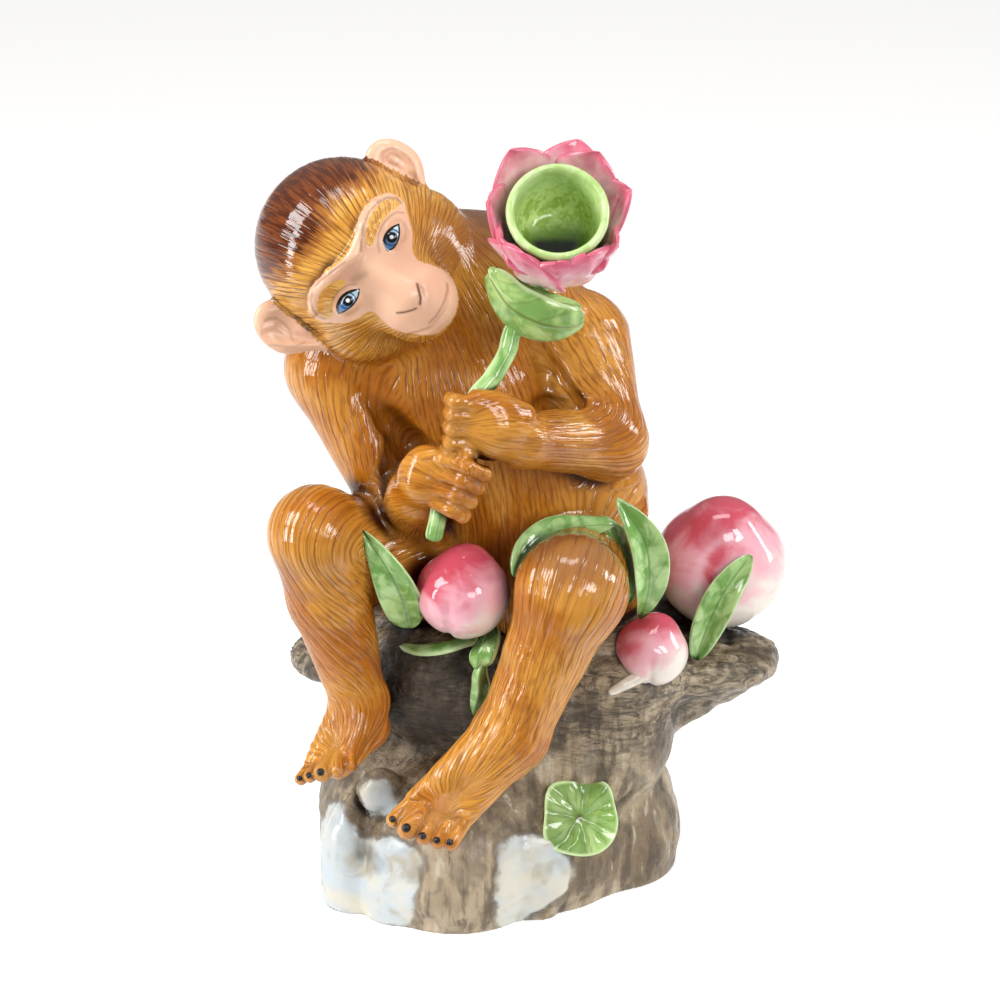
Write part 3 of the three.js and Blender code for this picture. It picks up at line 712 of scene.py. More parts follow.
def wander(coords):
    """How far the grooves stray from straight lines, as a phase."""
    return 2.4 * noise(coords / [6, 6, 2.2], 3) + 1.3 * noise(coords / [2.6, 2.6, 1.0], 4)


def rows_of(coords, pitch):
    """Every second row of the combing, as a wave from -1 on a ridge to 1 in a groove."""
    count = 2 * np.round(np.pi * np.hypot(coords[:, 0], coords[:, 1]) / pitch)
    return np.cos((count * np.arctan2(coords[:, 1], coords[:, 0]) + wander(coords)) / 2)


def strokes(coords_a, coords_b, share, pitch):
    """The combed relief: negative in the grooves, with ridges that swell and fade along the hair."""
    a, b = (-rows_of(c, pitch) * (0.65 + 0.5 * noise(c / [3, 3, 1.2], 5)) for c in (coords_a, coords_b))
    return a * (1 - share) + b * share


# %% [markdown]
# ## The painter's sheet
#
# The painter looked at the biscuit from the front and drew eyes, face and rock patches by eye. So
# painted outlines are kept as if drawn on a flat sheet held up behind the figure, in millimetres
# right of and above its middle, and every point knows where it falls on that sheet.


# %% Painted outlines
def sheet(p):
    """Where points fall on the sheet."""
    depth = DISTANCE / MM + p[:, 1] * np.cos(ELEVATION) - (p[:, 2] - 153) * np.sin(ELEVATION)
    up = p[:, 1] * np.sin(ELEVATION) + (p[:, 2] - 153) * np.cos(ELEVATION)
    return np.stack([p[:, 0], up], 1) * (DISTANCE / MM / depth)[:, None]


def rounded(corners, turns=2):
    """A closed line with its corners cut."""
    p = np.array(corners, float)
    for _ in range(turns):
        q = np.roll(p, -1, 0)
        p = np.stack([0.75 * p + 0.25 * q, 0.25 * p + 0.75 * q], 1).reshape(-1, 2)
    return p


def line_distance(p, a, b):
    """How far points on the sheet are from the nearest of several straight pieces."""
    d = b - a
    to = p[:, None] - a
    t = np.clip((to * d).sum(2) / np.maximum((d * d).sum(1), 1e-9), 0, 1)
    return np.linalg.norm(to - t[..., None] * d, axis=2).min(1)


def outline_distance(p, corners, turns=2):
    """How far points on the sheet are from a closed line, negative inside it."""
    a = rounded(corners, turns)
    b = np.roll(a, -1, 0)
    out = np.empty(len(p))
    for part in np.array_split(np.arange(len(p)), max(1, len(p) // 4000)):
        q = p[part]
        rise = np.where(b[:, 1] == a[:, 1], 1e-9, b[:, 1] - a[:, 1])
        cross = a[:, 0] + (q[:, 1:] - a[:, 1]) / rise * (b[:, 0] - a[:, 0])
        hits = ((a[:, 1] > q[:, 1:]) != (b[:, 1] > q[:, 1:])) & (q[:, :1] < cross)
        far = line_distance(q, a, b)
        out[part] = np.where(hits.sum(1) % 2 == 1, -far, far)
    return out


def inked(p, lines):
    """How dark the brush lines make each point of the sheet; each line is (width, strength, points)."""
    ink = np.zeros(len(p))
    for width, strength, line in lines:
        line = np.array(line, float)
        near = np.flatnonzero(((p > line.min(0) - 4 * width) & (p < line.max(0) + 4 * width)).all(1))
        far = line_distance(p[near], line[:-1], line[1:])
        ink[near] = np.maximum(ink[near], strength * np.exp(-((far / width) ** 2)))
    return ink


SKIN = [
    [-64.6, 67.6], [-68.4, 68.0], [-71.4, 69.9], [-73.0, 73.0], [-73.3, 76.0], [-72.6, 79.4],
    [-70.7, 82.5], [-67.6, 85.5], [-64.2, 87.8], [-60.4, 90.4], [-57.4, 93.9], [-55.9, 97.7],
    [-55.1, 101.8], [-54.0, 106.4], [-52.1, 110.6], [-49.4, 113.6], [-46.4, 115.5], [-42.6, 116.7],
    [-39.5, 115.9], [-37.2, 114.0], [-36.1, 111.7], [-35.3, 109.1], [-34.2, 104.9], [-33.1, 99.6],
    [-33.4, 95.0], [-31.9, 91.2], [-28.9, 90.1], [-25.1, 88.9], [-20.5, 87.0], [-17.9, 84.0],
    [-16.3, 79.8], [-16.0, 75.2], [-16.7, 71.4], [-18.6, 68.0], [-21.3, 65.0], [-24.3, 63.1],
    [-27.4, 62.7], [-32.3, 63.1], [-37.2, 63.8], [-41.8, 65.7], [-45.2, 68.8], [-47.5, 71.4],
    [-49.8, 71.8], [-52.4, 70.3], [-55.5, 68.4], [-58.5, 67.3], [-61.6, 67.3],
]
BROWS = [
    [
        [-69.5, 75.2], [-68.8, 78.7], [-66.5, 81.3], [-61.9, 83.6], [-58.9, 83.6], [-58.1, 82.5],
        [-60.4, 80.2], [-62.5, 77.3], [-63.5, 74.1], [-63.1, 70.7], [-65.4, 68.4], [-68.0, 69.5],
        [-69.5, 71.8],
    ],
    [
        [-50.7, 96.5], [-51.3, 100.7], [-50.2, 106.4], [-47.9, 111.0], [-44.1, 114.2], [-39.5, 114.8],
        [-37.6, 113.2], [-38.4, 111.0], [-41.8, 109.1], [-44.6, 106.0], [-46.5, 101.8], [-47.9, 97.7],
        [-49.6, 95.8],
    ],
]
EYES = [
    dict(
        middle=[-57.8, 75.7],
        slant=50,
        lids=[
            [-53.4, 80.2], [-53.4, 80.2], [-56.6, 79.8], [-59.7, 78.3], [-61.6, 75.6], [-62.3, 73.0],
            [-61.4, 70.7], [-61.4, 70.7], [-58.5, 71.8], [-55.5, 74.3], [-53.8, 77.1],
        ],
    ),
    dict(
        middle=[-41.1, 99.8],
        slant=68,
        lids=[
            [-38.4, 104.9], [-38.4, 104.9], [-41.0, 103.9], [-43.3, 101.8], [-44.5, 98.8],
            [-44.1, 96.1], [-42.6, 94.6], [-42.6, 94.6], [-40.3, 95.6], [-38.8, 98.0], [-38.0, 101.5],
        ],
    ),
]
CROWN = [
    [-46.4, 127.3], [-51.7, 121.6], [-58.1, 117.8], [-63.5, 114.0], [-66.1, 108.7], [-67.6, 101.8],
    [-71.8, 95.8], [-77.5, 92.0], [-82.1, 87.0], [-86.6, 82.5], [-92.0, 78.3], [-114.0, 64.6],
    [-133.0, 152.0], [-41.8, 174.8],
]
FACE_LINES = [
    (0.45, 1.0, [[-31.5, 82.1], [-30.8, 79.4], [-30.2, 76.8], [-30.4, 74.5]]),
    (0.4, 0.9, [[-39.1, 71.1], [-36.5, 71.3], [-33.8, 72.0], [-31.9, 72.8]]),
    (0.4, 0.45, [[-27.0, 67.3], [-24.3, 69.9], [-22.4, 73.0], [-20.9, 76.0], [-19.9, 79.8],
                 [-19.8, 82.1]]),
    (0.35, 0.4, [[-45.8, 94.2], [-46.5, 97.7], [-46.0, 101.5], [-44.5, 104.9], [-41.8, 107.9],
                 [-39.1, 109.4], [-36.5, 109.1]]),
    (0.35, 0.4, [[-64.2, 71.4], [-64.0, 74.5], [-63.1, 77.1], [-60.8, 79.8], [-57.8, 81.7],
                 [-54.7, 82.1]]),
    (0.45, 0.5, [[-52.8, 94.6], [-52.8, 98.8], [-51.9, 104.1], [-49.8, 109.4], [-46.7, 112.9],
                 [-42.9, 115.0], [-39.1, 114.6], [-37.6, 112.9]]),
    (0.45, 0.5, [[-58.9, 90.4], [-64.2, 86.6], [-68.4, 83.2], [-71.1, 79.8], [-72.0, 76.0],
                 [-71.1, 72.2], [-68.8, 69.5], [-66.5, 68.8]]),
    (1.6, 0.3, [[-55.5, 83.6], [-53.2, 84.7], [-51.3, 85.9]]),
    (0.5, 0.28, [[-44.5, 128.1], [-44.8, 131.9], [-41.8, 133.8], [-38, 133], [-35, 130.3],
                 [-32.7, 126.9], [-31.9, 123.5], [-33.1, 120.5]]),
    (0.45, 0.28, [[-43.3, 130.3], [-41, 131.9], [-38.8, 130.7], [-38, 128.8], [-39.5, 127.3],
                  [-41.8, 128.1]]),
    (0.5, 0.28, [[-90.4, 62.7], [-90.8, 66.1], [-88.5, 68.8], [-85.1, 69.2], [-82.1, 67.3],
                 [-79.8, 64.2], [-79, 60.8]]),
    (0.45, 0.28, [[-87.4, 58.9], [-82.8, 58.5], [-78.3, 58.1], [-74.1, 60]]),
]
PALE_ROCKS = [
    [
        [-67.6, -116.7], [-64.6, -114.0], [-61.6, -114.8], [-58.5, -119.7], [-55.1, -126.2],
        [-48.6, -129.2], [-41.0, -127.3], [-36.1, -130.0], [-30.8, -133.8], [-29.6, -140.6],
        [-32.3, -152.0], [-33.4, -163.4], [-51.3, -161.5], [-64.6, -157.7], [-69.2, -153.9],
        [-69.2, -131.1],
    ],
    [
        [-1.1, -131.9], [3.8, -127.7], [11.4, -126.2], [17.9, -127.7], [23.6, -131.9], [28.1, -137.6],
        [27.7, -146.3], [19.0, -154.7], [9.5, -160.4], [0.0, -164.2], [-1.9, -159.6], [-1.5, -144.4],
    ],
    [
        [-54.3, -110.2], [-52.4, -107.5], [-48.6, -105.3], [-43.7, -106.0], [-41.0, -109.4],
        [-38.8, -112.9], [-38.0, -115.5], [-39.9, -118.6], [-42.6, -120.8], [-47.5, -120.8],
        [-51.3, -118.6], [-53.2, -114.8],
    ],
]
# The wall between the legs is painted dark: dark brown paint, and painted shade in that deep hollow.
DARK_WALL = [
    [-43.7, -58.9], [-38.8, -53.2], [-26.6, -57.0], [-7.6, -58.9], [1.9, -53.2], [0.0, -62.7],
    [-7.6, -76.0], [-11.4, -89.3], [-22.8, -93.1], [-36.1, -91.2], [-42.6, -83.6],
]

# %% [markdown]
# ## Where the peaches lie
#
# The peaches are modelled apart and set on. Their places come first, because the glaze also
# pools, and shade falls, where a peach touches its neighbours.

# %% Peaches
PEACHES = [
    dict(
        at=[86, 14, 121.5], radius=26.2, tip=[0.05, -0.2, 0.97], cleft=[0.18, -0.965, 0.175],
        opening=0.56, deep=0.024, towards=[-0.55, -0.5, 0.65], pink=-0.28,
    ),
    dict(
        at=[-13.3, -47, 135.8], radius=17.4, tip=[0.1, 0.1, 0.98], cleft=[1, 0, 0],
        opening=1.9, deep=0.05, towards=[-0.2, -0.6, -0.8], pink=0,
    ),
    dict(
        at=[57.3, -28, 103.5], radius=14, tip=[0.3, 0.1, 0.93], cleft=[1, 0, 0],
        opening=1.66, deep=0.045, towards=[0, -0.6, -0.8], pink=-0.2,
    ),
    dict(
        at=[-56, -24, 77], radius=10.5, tip=[-0.6, -0.3, 0.7], cleft=[1, 0, 0],
        opening=1.6, deep=0.06, towards=[-1, -0.5, 0], pink=0.3,
    ),
]

# %% [markdown]
# ## Where the glaze pools and shade falls
#
# Glaze runs off edges and gathers in hollows, and shade falls there. A point in a hollow, moved
# out along its normal, soon comes near another form, so three such feelers tell how deep it lies.
# The glazes darken with that depth, both for the gathered glaze and as painted shade.

# %% Shade in the hollows
whole = melt(1, fur_body, head_in_place, stump)
for fruit in PEACHES:
    whole = melt(1, whole, egg(fruit["at"], [fruit["radius"]] * 3))
print("peach radii:", [fruit["radius"] for fruit in PEACHES])


FEELERS = ((1.5, 0.35), (4, 0.4), (9, 0.45))


def pooled(points, normals):
    """Depth in a hollow at each point, 0 on open forms to 1, where glaze pools and shade falls."""
    shade = np.zeros(len(points))
    for reach, weight in FEELERS:
        d = whole(*(points + normals * reach).T)
        shade += weight * np.clip(1 - d / reach, 0, 1)
    return np.clip(shade, 0, 1)


# %% [markdown]
# ## Fur pieces
#
# The body is taken in one field but meshed in several boxes, because fingers and toes need a finer
# net than the back. Neighbouring boxes overlap by a few millimetres on the same exact skin, so no
# seam shows.

# %% Meshing the body
FINE = 1.0
BOXES = {
    "hands": ([-50, -80, 160], [27, -34, 228], 0.6),
    "foot_left": ([-86, -84, 58], [-34, -26, 104], 0.55),
    "foot_right": ([-50, -104, 44], [22, -50, 100], 0.55),
    "upper_body": ([-92, -82, 148], [72, 60, 290], 0.84),
    "lower_body": ([-92, -92, 80], [72, 60, 150], 0.8),
}


def inside_box(p, box, margin):
    low, high = np.array(box[0]), np.array(box[1])
    return ((p > low + margin) & (p < high - margin)).all(1)


NECK = 7.0
ROW = 2.0
OVERLAP = 3.5
# Head and body overlap by this much at the neck, and forms end this deep inside one another.
SEAM, BURIED = 0.8, -4
ROW_HEIGHT, CLUMP_HEIGHT = 0.13, 0.11
DUSK = [(44, [0, 22, 252], 1), (25, [26, -64, 160], 0.75)]
fur_skin = melt(NECK, fur_body, head_in_place)


def fur_piece(name):
    low, high, step = BOXES[name]
    points, faces = net(fur_skin, low, high, step * FINE)
    middle = points[faces].mean(1)
    keep = fur_body(*middle.T) < head_in_place(*middle.T) + SEAM
    if name.endswith("body"):
        for finer in ("hands", "foot_left", "foot_right"):
            keep &= ~inside_box(middle, BOXES[finer], OVERLAP)
    keep &= stump(*middle.T) > BURIED
    points, faces, _ = tidy(points, faces, keep)
    normals = normals_of(points, faces)
    pool = pooled(points, normals)
    a, b, share = comb(points)
    rows = strokes(a, b, share, ROW)
    clumps = noise(a / 4.5, 8) * (1 - share) + noise(b / 4.5, 8) * share
    bare = np.minimum(np.minimum(hand_left(*points.T), hand_right(*points.T)), all_nails(*points.T))
    combed_here = (0.3 + 0.7 * smoothstep(0.5, 5, bare)) * (1 - 0.8 * smoothstep(0.1, 0.6, pool))
    legs = 1 + 0.8 * smoothstep(165, 150, points[:, 2])
    head_near = smoothstep(6, 1, head_in_place(*points.T) - fur_body(*points.T))
    rise = combed_here * legs * (rows * ROW_HEIGHT + clumps * CLUMP_HEIGHT) * (1 - head_near)
    dusk = [full * smoothstep(r, r / 3, np.linalg.norm(points - at, axis=1)) for r, at, full in DUSK]
    points = points + normals * rise[:, None]
    return make_piece(
        name,
        points,
        faces,
        comb_a=a,
        comb_b=b,
        comb_share=share,
        stray=np.stack([wander(a), wander(b), rows], 1),
        combed=combed_here,
        pool=pool,
        nail=all_nails(*points.T),
        dusk=np.max(dusk, axis=0),
        place=points,
    )


fur_pieces = [fur_piece(name) for name in BOXES]

# %% [markdown]
# ## The head
#
# The hair was combed away from the face all round, so on the head the strokes are polar: the angle
# round the nose runs across them and the distance from it runs along them. The face itself is bare
# and painted, and gets the finest net, fine enough to hold the eyes' outlines.


# %% Head mesh
def head_skin(x, y, z):
    """The head with the neck flowing out of it, in the head's own frame."""
    there = (
        sum(v * axis[i] for v, axis in zip((x, y, z), HEAD_AXES)) + HEAD_CENTRE[i] for i in range(3)
    )
    return melt(NECK, lambda *p: head(*p), lambda *p: fur_body(*there))(x, y, z)


HAIR_HEIGHT, LOCK_HEIGHT = 0.14, 0.16
# A distance that's out of every brush's reach.
UNPAINTED = 9.0


def head_piece(name, low, high, step, hole=None):
    points, faces = net(head_skin, low, high, step * FINE)
    middle = from_head(points[faces].mean(1))
    points, faces, _ = tidy(points, faces, head_in_place(*middle.T) < fur_body(*middle.T) + SEAM)
    if hole is not None:
        points, faces, _ = tidy(points, faces, ~inside_box(points[faces].mean(1), hole, 2))
    normals = normals_of(points, faces)
    on_sheet = sheet(from_head(points))
    behind = UNPAINTED * (points[:, 1] > 0)
    skin = outline_distance(on_sheet, SKIN) + behind
    brows = np.min([outline_distance(on_sheet, b) for b in BROWS], axis=0)
    skin = np.maximum(skin, -brows)
    crown = outline_distance(on_sheet, CROWN) * 0.8
    ears = np.minimum(ear(-1)(*points.T), ear(1)(*points.T))
    skull_here = melt(4, skull, muzzle)(*points.T)
    skin = np.minimum(skin, np.where(ears < 0.8, 0.9 - skull_here * 0.6, UNPAINTED))
    ray = np.stack([points[:, 0] + 3, points[:, 2] + 20], 1)
    distance = np.linalg.norm(ray, axis=1)
    around = 40 * ray / np.maximum(distance, 1e-6)[:, None]
    along = 30 * np.arctan2(distance, 6 - points[:, 1])
    comb_lines = np.stack([around[:, 0], around[:, 1], along / STRETCH], 1)
    none = np.zeros(len(points))
    relief = strokes(comb_lines, comb_lines, none, ROW)
    neck = fur_body(*from_head(points).T) - head(*points.T)
    hairy = smoothstep(-0.5, 1.5, skin) * (1 - 0.5 * smoothstep(2, -4, crown)) * smoothstep(0, 5, neck)
    eye = np.full((len(points), 3), 30.0)
    for one in EYES:
        d = on_sheet - one["middle"]
        turn = np.radians(one["slant"])
        across, up = d @ [np.cos(turn), np.sin(turn)], d @ [-np.sin(turn), np.cos(turn)]
        lids = outline_distance(on_sheet, one["lids"], 3) + behind
        near = lids < eye[:, 2]
        eye[near] = np.stack([across, up, lids], 1)[near]
    clumps = noise(comb_lines / 3.5, 8)
    points = points + normals * ((relief * HAIR_HEIGHT + clumps * LOCK_HEIGHT) * hairy)[:, None]
    world = from_head(points)
    return make_piece(
        name,
        world,
        faces,
        comb_a=comb_lines,
        comb_b=comb_lines,
        comb_share=none,
        stray=np.stack([wander(comb_lines), none, relief], 1),
        combed=hairy,
        pool=pooled(world, normals @ HEAD_AXES),
        nail=none + UNPAINTED,
        place=world,
        skin=skin,
        crown=crown,
        brow=brows,
        eye=eye,
        ink=inked(on_sheet, FACE_LINES) * (points[:, 1] < 3),
        neck=neck,
    )


FACE_BOX = ([-32, -50, -44], [30, -12, 20])
head_pieces = [
    head_piece("head", [-52, -56, -56], [52, 42, 44], 0.62, FACE_BOX),
    head_piece("face", *FACE_BOX, 0.4),
]

# %% [markdown]
# ## Bark and rock
#
# Bark was scored along the trunk and along the ledge, and the pale rocks were left smooth. So the
# relief is noise drawn out along the same kind of paths as the fur, and it fades on the rocks.

# %% Stump mesh
ROOT_PATHS = [[[-6, -8, -5, 44], [-4, -4, 40, 42], [-2, 0, 76, 40]]]
LEDGE_PATHS = [
    [[10, 0, 84, 24], [60, 2, 84, 20], [96, 8, 84, 10]],
    [[-20, 0, 86, 20], [-50, 2, 86, 14], [-82, 4, 86, 8]],
]
points, faces = net(stump_on_floor, [-106, -86, -3], [122, 70, 122], 1.12 * FINE)
middle = points[faces].mean(1)
keep = fur_body(*middle.T) > BURIED
points, faces, _ = tidy(points, faces, keep)
normals = normals_of(points, faces)
on_sheet = sheet(points)
front = UNPAINTED * (normals[:, 1] > 0.3)
pale = np.min([outline_distance(on_sheet, o) for o in PALE_ROCKS], axis=0) + front
dark = outline_distance(on_sheet, DARK_WALL) + front
smooth = smoothstep(1, -1, pale)
a, b, share = comb(points, ROOT_PATHS, LEDGE_PATHS, (0, 0))
bark = [noise(c / [2.6, 2.6, 1.6] + 0.6 * turbulence(points / 6, 2, 51)[:, None], 9) for c in (a, b)]
bark = bark[0] * (1 - share) + bark[1] * share
rough = smoothstep(50, 75, points[:, 2])
lump = turbulence(points / 13, 3, 7)
pits = np.minimum(0, turbulence(points / 4, 2, 17) + 0.35)
lift = np.clip(points[:, 2] / 3, 0, 1)
cracks = bark * (0.25 + 0.4 * rough) + pits * 0.8
gully = np.exp(-((pale / 0.8) ** 2))
height = lump * 1.1 + cracks * (1 - smooth) - 0.6 * gully
points = points + normals * (height * lift)[:, None]
stump_piece = make_piece(
    "stump",
    points,
    faces,
    comb_a=a,
    comb_b=b,
    comb_share=share,
    bark=bark,
    rough=rough,
    pale=pale,
    dark=dark,
    pool=pooled(points, normals),
    place=points,
)


# %% [markdown]
# ## Leaves and petals
#
# A leaf is rolled clay, cut out and bent. Each one is a curve for its midrib, a direction across
# it, and a width that swells and runs out to a point. The blade is a closed skin with a rounded
# edge, and it carries `leaf`: how far across, how far along, and which face.


# %% Blades
LEAF_THICKNESS = 2.6


def bands(rows, size):
    """Quads between neighbouring closed rings of points."""
    here = np.arange(size)
    after = (here + 1) % size
    strip = np.stack([here, after, after + size, here + size], 1)
    return np.vstack([r * size + strip for r in range(rows - 1)])


def blade(
    path, side, width, keel, thick=LEAF_THICKNESS, blunt=0.75, widest=0.5, veins=0.25,
    rows=44, columns=15, seed=0,
):
    """Points, quads and leaf coordinates of a closed blade."""
    line = spline(path, rows)
    along = np.gradient(line, axis=0)
    along /= np.linalg.norm(along, axis=1)[:, None]
    face = np.cross(unit(side), along)
    face /= np.linalg.norm(face, axis=1)[:, None]
    wide = np.cross(along, face)
    t = np.linspace(0, 1, rows)
    t = 0.5 - 0.5 * np.cos(np.pi * t) * (1 - 0.004)
    line = np.stack([np.interp(t, np.linspace(0, 1, rows), line[:, i]) for i in range(3)], 1)
    w = np.sin(np.linspace(-np.pi / 2, np.pi / 2, columns))
    loop = np.concatenate([w, w[-2:0:-1]])
    face_side = np.concatenate([np.ones(columns), -np.ones(columns - 2)])
    T, W = np.meshgrid(t, loop, indexing="ij")
    S = np.sin(np.pi * T ** (np.log(0.5) / np.log(widest))) ** blunt
    clay = thick / 2 * np.sqrt(np.clip(1 - np.abs(W) ** 6, 0, 1)) * np.minimum(1, S * 2.5) * face_side
    vein = np.exp(-((W / 0.09) ** 2)) * 1.6 + 0.7 * np.maximum(0, np.cos((T * 22 - np.abs(W) * 6))) ** 6
    bend = keel * S * (np.abs(W) - 0.5) - veins * vein * np.sign(keel) * (1 - np.abs(W) ** 4)
    spots = np.stack([T.ravel() * 4 + seed * 9, W.ravel() * 1.5, np.zeros(T.size)], 1)
    bend = bend + 1.4 * noise(spots, seed).reshape(T.shape) * np.abs(W) ** 2
    points = line[:, None] + wide[:, None] * (W * width * S / 2)[..., None]
    points = points + face[:, None] * (clay + bend)[..., None]
    size = len(loop)
    caps = []
    for base, turn in ((0, 1), ((rows - 1) * size, -1)):
        for i in range(columns - 1):
            ring = [base + i, base + i + 1, base + (size - i - 1) % size, base + (size - i) % size]
            caps.append(ring[:: -turn])
    leaf = np.stack([W, T, face_side[None] * np.ones_like(T)], -1)
    return points.reshape(-1, 3), np.vstack([bands(rows, size), np.array(caps)]), leaf.reshape(-1, 3)


def join(parts):
    """Several (points, quads, coordinates) as one."""
    start, out = 0, []
    for points, quads, coords in parts:
        out.append((points, quads + start, coords))
        start += len(points)
    return tuple(np.vstack([o[i] for o in out]) for i in range(3))


LEAVES = [
    dict(
        path=[[-33.5, -42, 119], [-35.4, -50, 133], [-40.7, -54, 148], [-50, -51, 162.4]],
        side=[1, -0.2, 0.5], width=15.5, keel=3, widest=0.4,
    ),
    dict(
        path=[[-8, -34, 111], [-20, -40, 110], [-29.8, -38, 108], [-37.8, -33, 107]],
        side=[0, -1, 0.3], width=8, keel=1.5,
    ),
    dict(
        path=[[-2.2, -48, 123], [-6, -54, 115], [-9.5, -53, 108]],
        side=[1, -0.2, 0.8], width=11, keel=2, blunt=0.55,
    ),
    dict(
        path=[[-5, -53, 113], [-7.3, -54, 106.8], [-7.4, -50, 97.9], [-10.1, -45, 84.6]],
        side=[1, -0.3, 0.1], width=7, keel=2,
    ),
    dict(
        path=[
            [5.5, -54, 144.5], [9.5, -51.5, 153.3], [18.1, -45.5, 158.2], [29.2, -38.5, 157.8],
            [42, -31.5, 156]
        ],
        side=[0.5, -0.6, -0.7], width=12, keel=1.6, blunt=0.5, widest=0.4,
    ),
    dict(
        path=[[52.5, -28, 116], [55.5, -34, 132], [53.4, -37, 151], [42.4, -36, 168.5]],
        side=[1, 0.3, 0], width=14.5, keel=4.5,
    ),
    dict(
        path=[[48, -34, 126], [47, -34, 142], [38, -30, 159]],
        side=[1, 0.3, 0.2], width=12, keel=2,
    ),
    dict(
        path=[[75, -15, 93], [79, -17, 108], [85, -16, 122], [95, -11, 135]],
        side=[0.8, -0.2, -0.5], width=13, keel=4.5, blunt=0.5,
    ),
    dict(
        path=[[-3.5, -42, 256], [4, -46, 245.5], [13.3, -48, 240.5], [22.7, -46, 238], [29, -42, 239]],
        side=[0.3, -0.3, 1], width=18.5, keel=1.2, blunt=0.32,
    ),
    dict(
        path=[[-4, -42, 257], [6, -46, 250], [17, -46, 246], [28.5, -43, 243]],
        side=[0.2, 0.7, 0.9], width=9, keel=1.2, blunt=0.5,
    ),
]
leaf_parts = [blade(**how, seed=i) for i, how in enumerate(LEAVES)]


def pooled_piece(name, points, quads, depth=1.0, **attributes):
    """A piece that carries its places and how deep in a hollow they lie."""
    pool = pooled(points, normals_of(points, quads)) * depth
    return make_piece(name, points, quads, **attributes, pool=pool, place=points)


def leaf_piece(name, made):
    points, quads, leaf = join(made)
    return pooled_piece(name, points, quads, leaf=leaf)


leaves_piece = leaf_piece("leaves", leaf_parts[:-2])
lotus_leaf_piece = leaf_piece("lotus_leaf", leaf_parts[-2:])

# %% [markdown]
# ## Lotus and cup
#
# Each petal was pressed thin and luted on. Here it's a blade whose midrib climbs the cup's side.
# The cup takes a candle and was turned, so a turned profile makes it, bore and lip included.

# %% Lotus
LOTUS_MOUTH = np.array([19.8, -54, 281.5])
LOTUS_AXES = axes_of([0.02, -0.78, 0.62], [1, 0, 0])
CUP_RADIUS, CUP_LIP, BORE_RADIUS, BORE_DEPTH, CUP_HEIGHT = 17.8, 2.3, 11, 27, 42
PETALS = [
    [127, 27.5, 0, 25], [75, 29.5, -5, 26], [56, 25.5, 1, 25], [33, 25, -5, 20], [18, 26.5, -1, 21],
    [-27, 22.5, -4, 19], [-60, 19.2, 0.5, 26], [-126, 19.6, 0, 30], [-155, 21.5, -3, 20],
    [171, 24, -1, 24],
    [-92, 19, 0, 26], [-48, 24, -9, 20], [-135, 23.5, -9, 24],
]


def in_lotus(p):
    return np.array(p) @ LOTUS_AXES + LOTUS_MOUTH


def petal(n, degrees, reach, rise, width):
    a = np.radians(degrees)
    foot, belly, waist = (6, 2 - CUP_HEIGHT), (15, -CUP_HEIGHT * 0.68), (
        CUP_RADIUS + 1.4, -CUP_HEIGHT * 0.3
    )
    rings = [foot, belly, waist, (reach, rise)]
    path = [in_lotus([r * np.cos(a), r * np.sin(a), h]) for r, h in rings]
    side = np.array([-np.sin(a), np.cos(a), 0]) @ LOTUS_AXES
    return blade(path, side, width * 1.1, -3.4, thick=2.9, blunt=0.72, widest=0.64, veins=0.1, seed=20 + n)


petals_piece = leaf_piece("petals", [petal(n, *p) for n, p in enumerate(PETALS)])


def lathe(profile, segments=72):
    """A turned form about Z, as points and quads."""
    profile = np.array(profile, float)
    turn = np.linspace(0, 2 * np.pi, segments, endpoint=False)
    circle = np.stack([np.cos(turn), np.sin(turn)], 1)
    flat = profile[:, 0, None, None] * circle
    up = np.broadcast_to(profile[:, 1, None, None], (*flat.shape[:2], 1))
    points = np.concatenate([flat, up], 2)
    return points.reshape(-1, 3), bands(len(profile), segments)


r, lip = CUP_RADIUS, CUP_RADIUS - CUP_LIP
cup_line = spline(
    [
        [0.01, 0, -CUP_HEIGHT], [9, 0, 1 - CUP_HEIGHT], [14, 0, 12 - CUP_HEIGHT], [r - 1.5, 0, -10],
        [r, 0, -2], [r - 1, 0, 0], [lip, 0, -0.6], [lip - 0.8, 0, -4],
        [BORE_RADIUS, 0, 2 - BORE_DEPTH], [0.01, 0, -BORE_DEPTH],
    ],
    64,
)
points, quads = lathe(cup_line[:, [0, 2]])
points = points * (1 + 0.012 * noise(points / 9, 31)[:, None] * [1, 1, 0])
in_bore = np.repeat(np.arange(len(cup_line)) > cup_line[:, 2].argmax(), len(points) // len(cup_line))
OUTSIDE = 30
radius = np.where(in_bore, np.linalg.norm(points[:, :2], axis=1), OUTSIDE)
coords = np.stack([radius, points[:, 2], points[:, 1]], 1)
points = in_lotus(points)
cup_piece = make_piece("cup", points, quads, cup=coords, place=points)

# %% [markdown]
# ## Stem
#
# The stem is a rolled coil that runs through both fists. A tube along a spline makes it, with a
# little noise, because no coil is even.

# %% Stem
STEM = [
    [19, -22, 255], [12, -34, 244], [4.2, -43, 234], [2.5, -47, 228], [-2.8, -53, 220.6],
    [-8, -56, 215], [-13, -57, 203], [-18, -57.5, 190], [-21.5, -59, 173], [-23.9, -61, 161.6],
]
STEM_RADIUS = 3.3


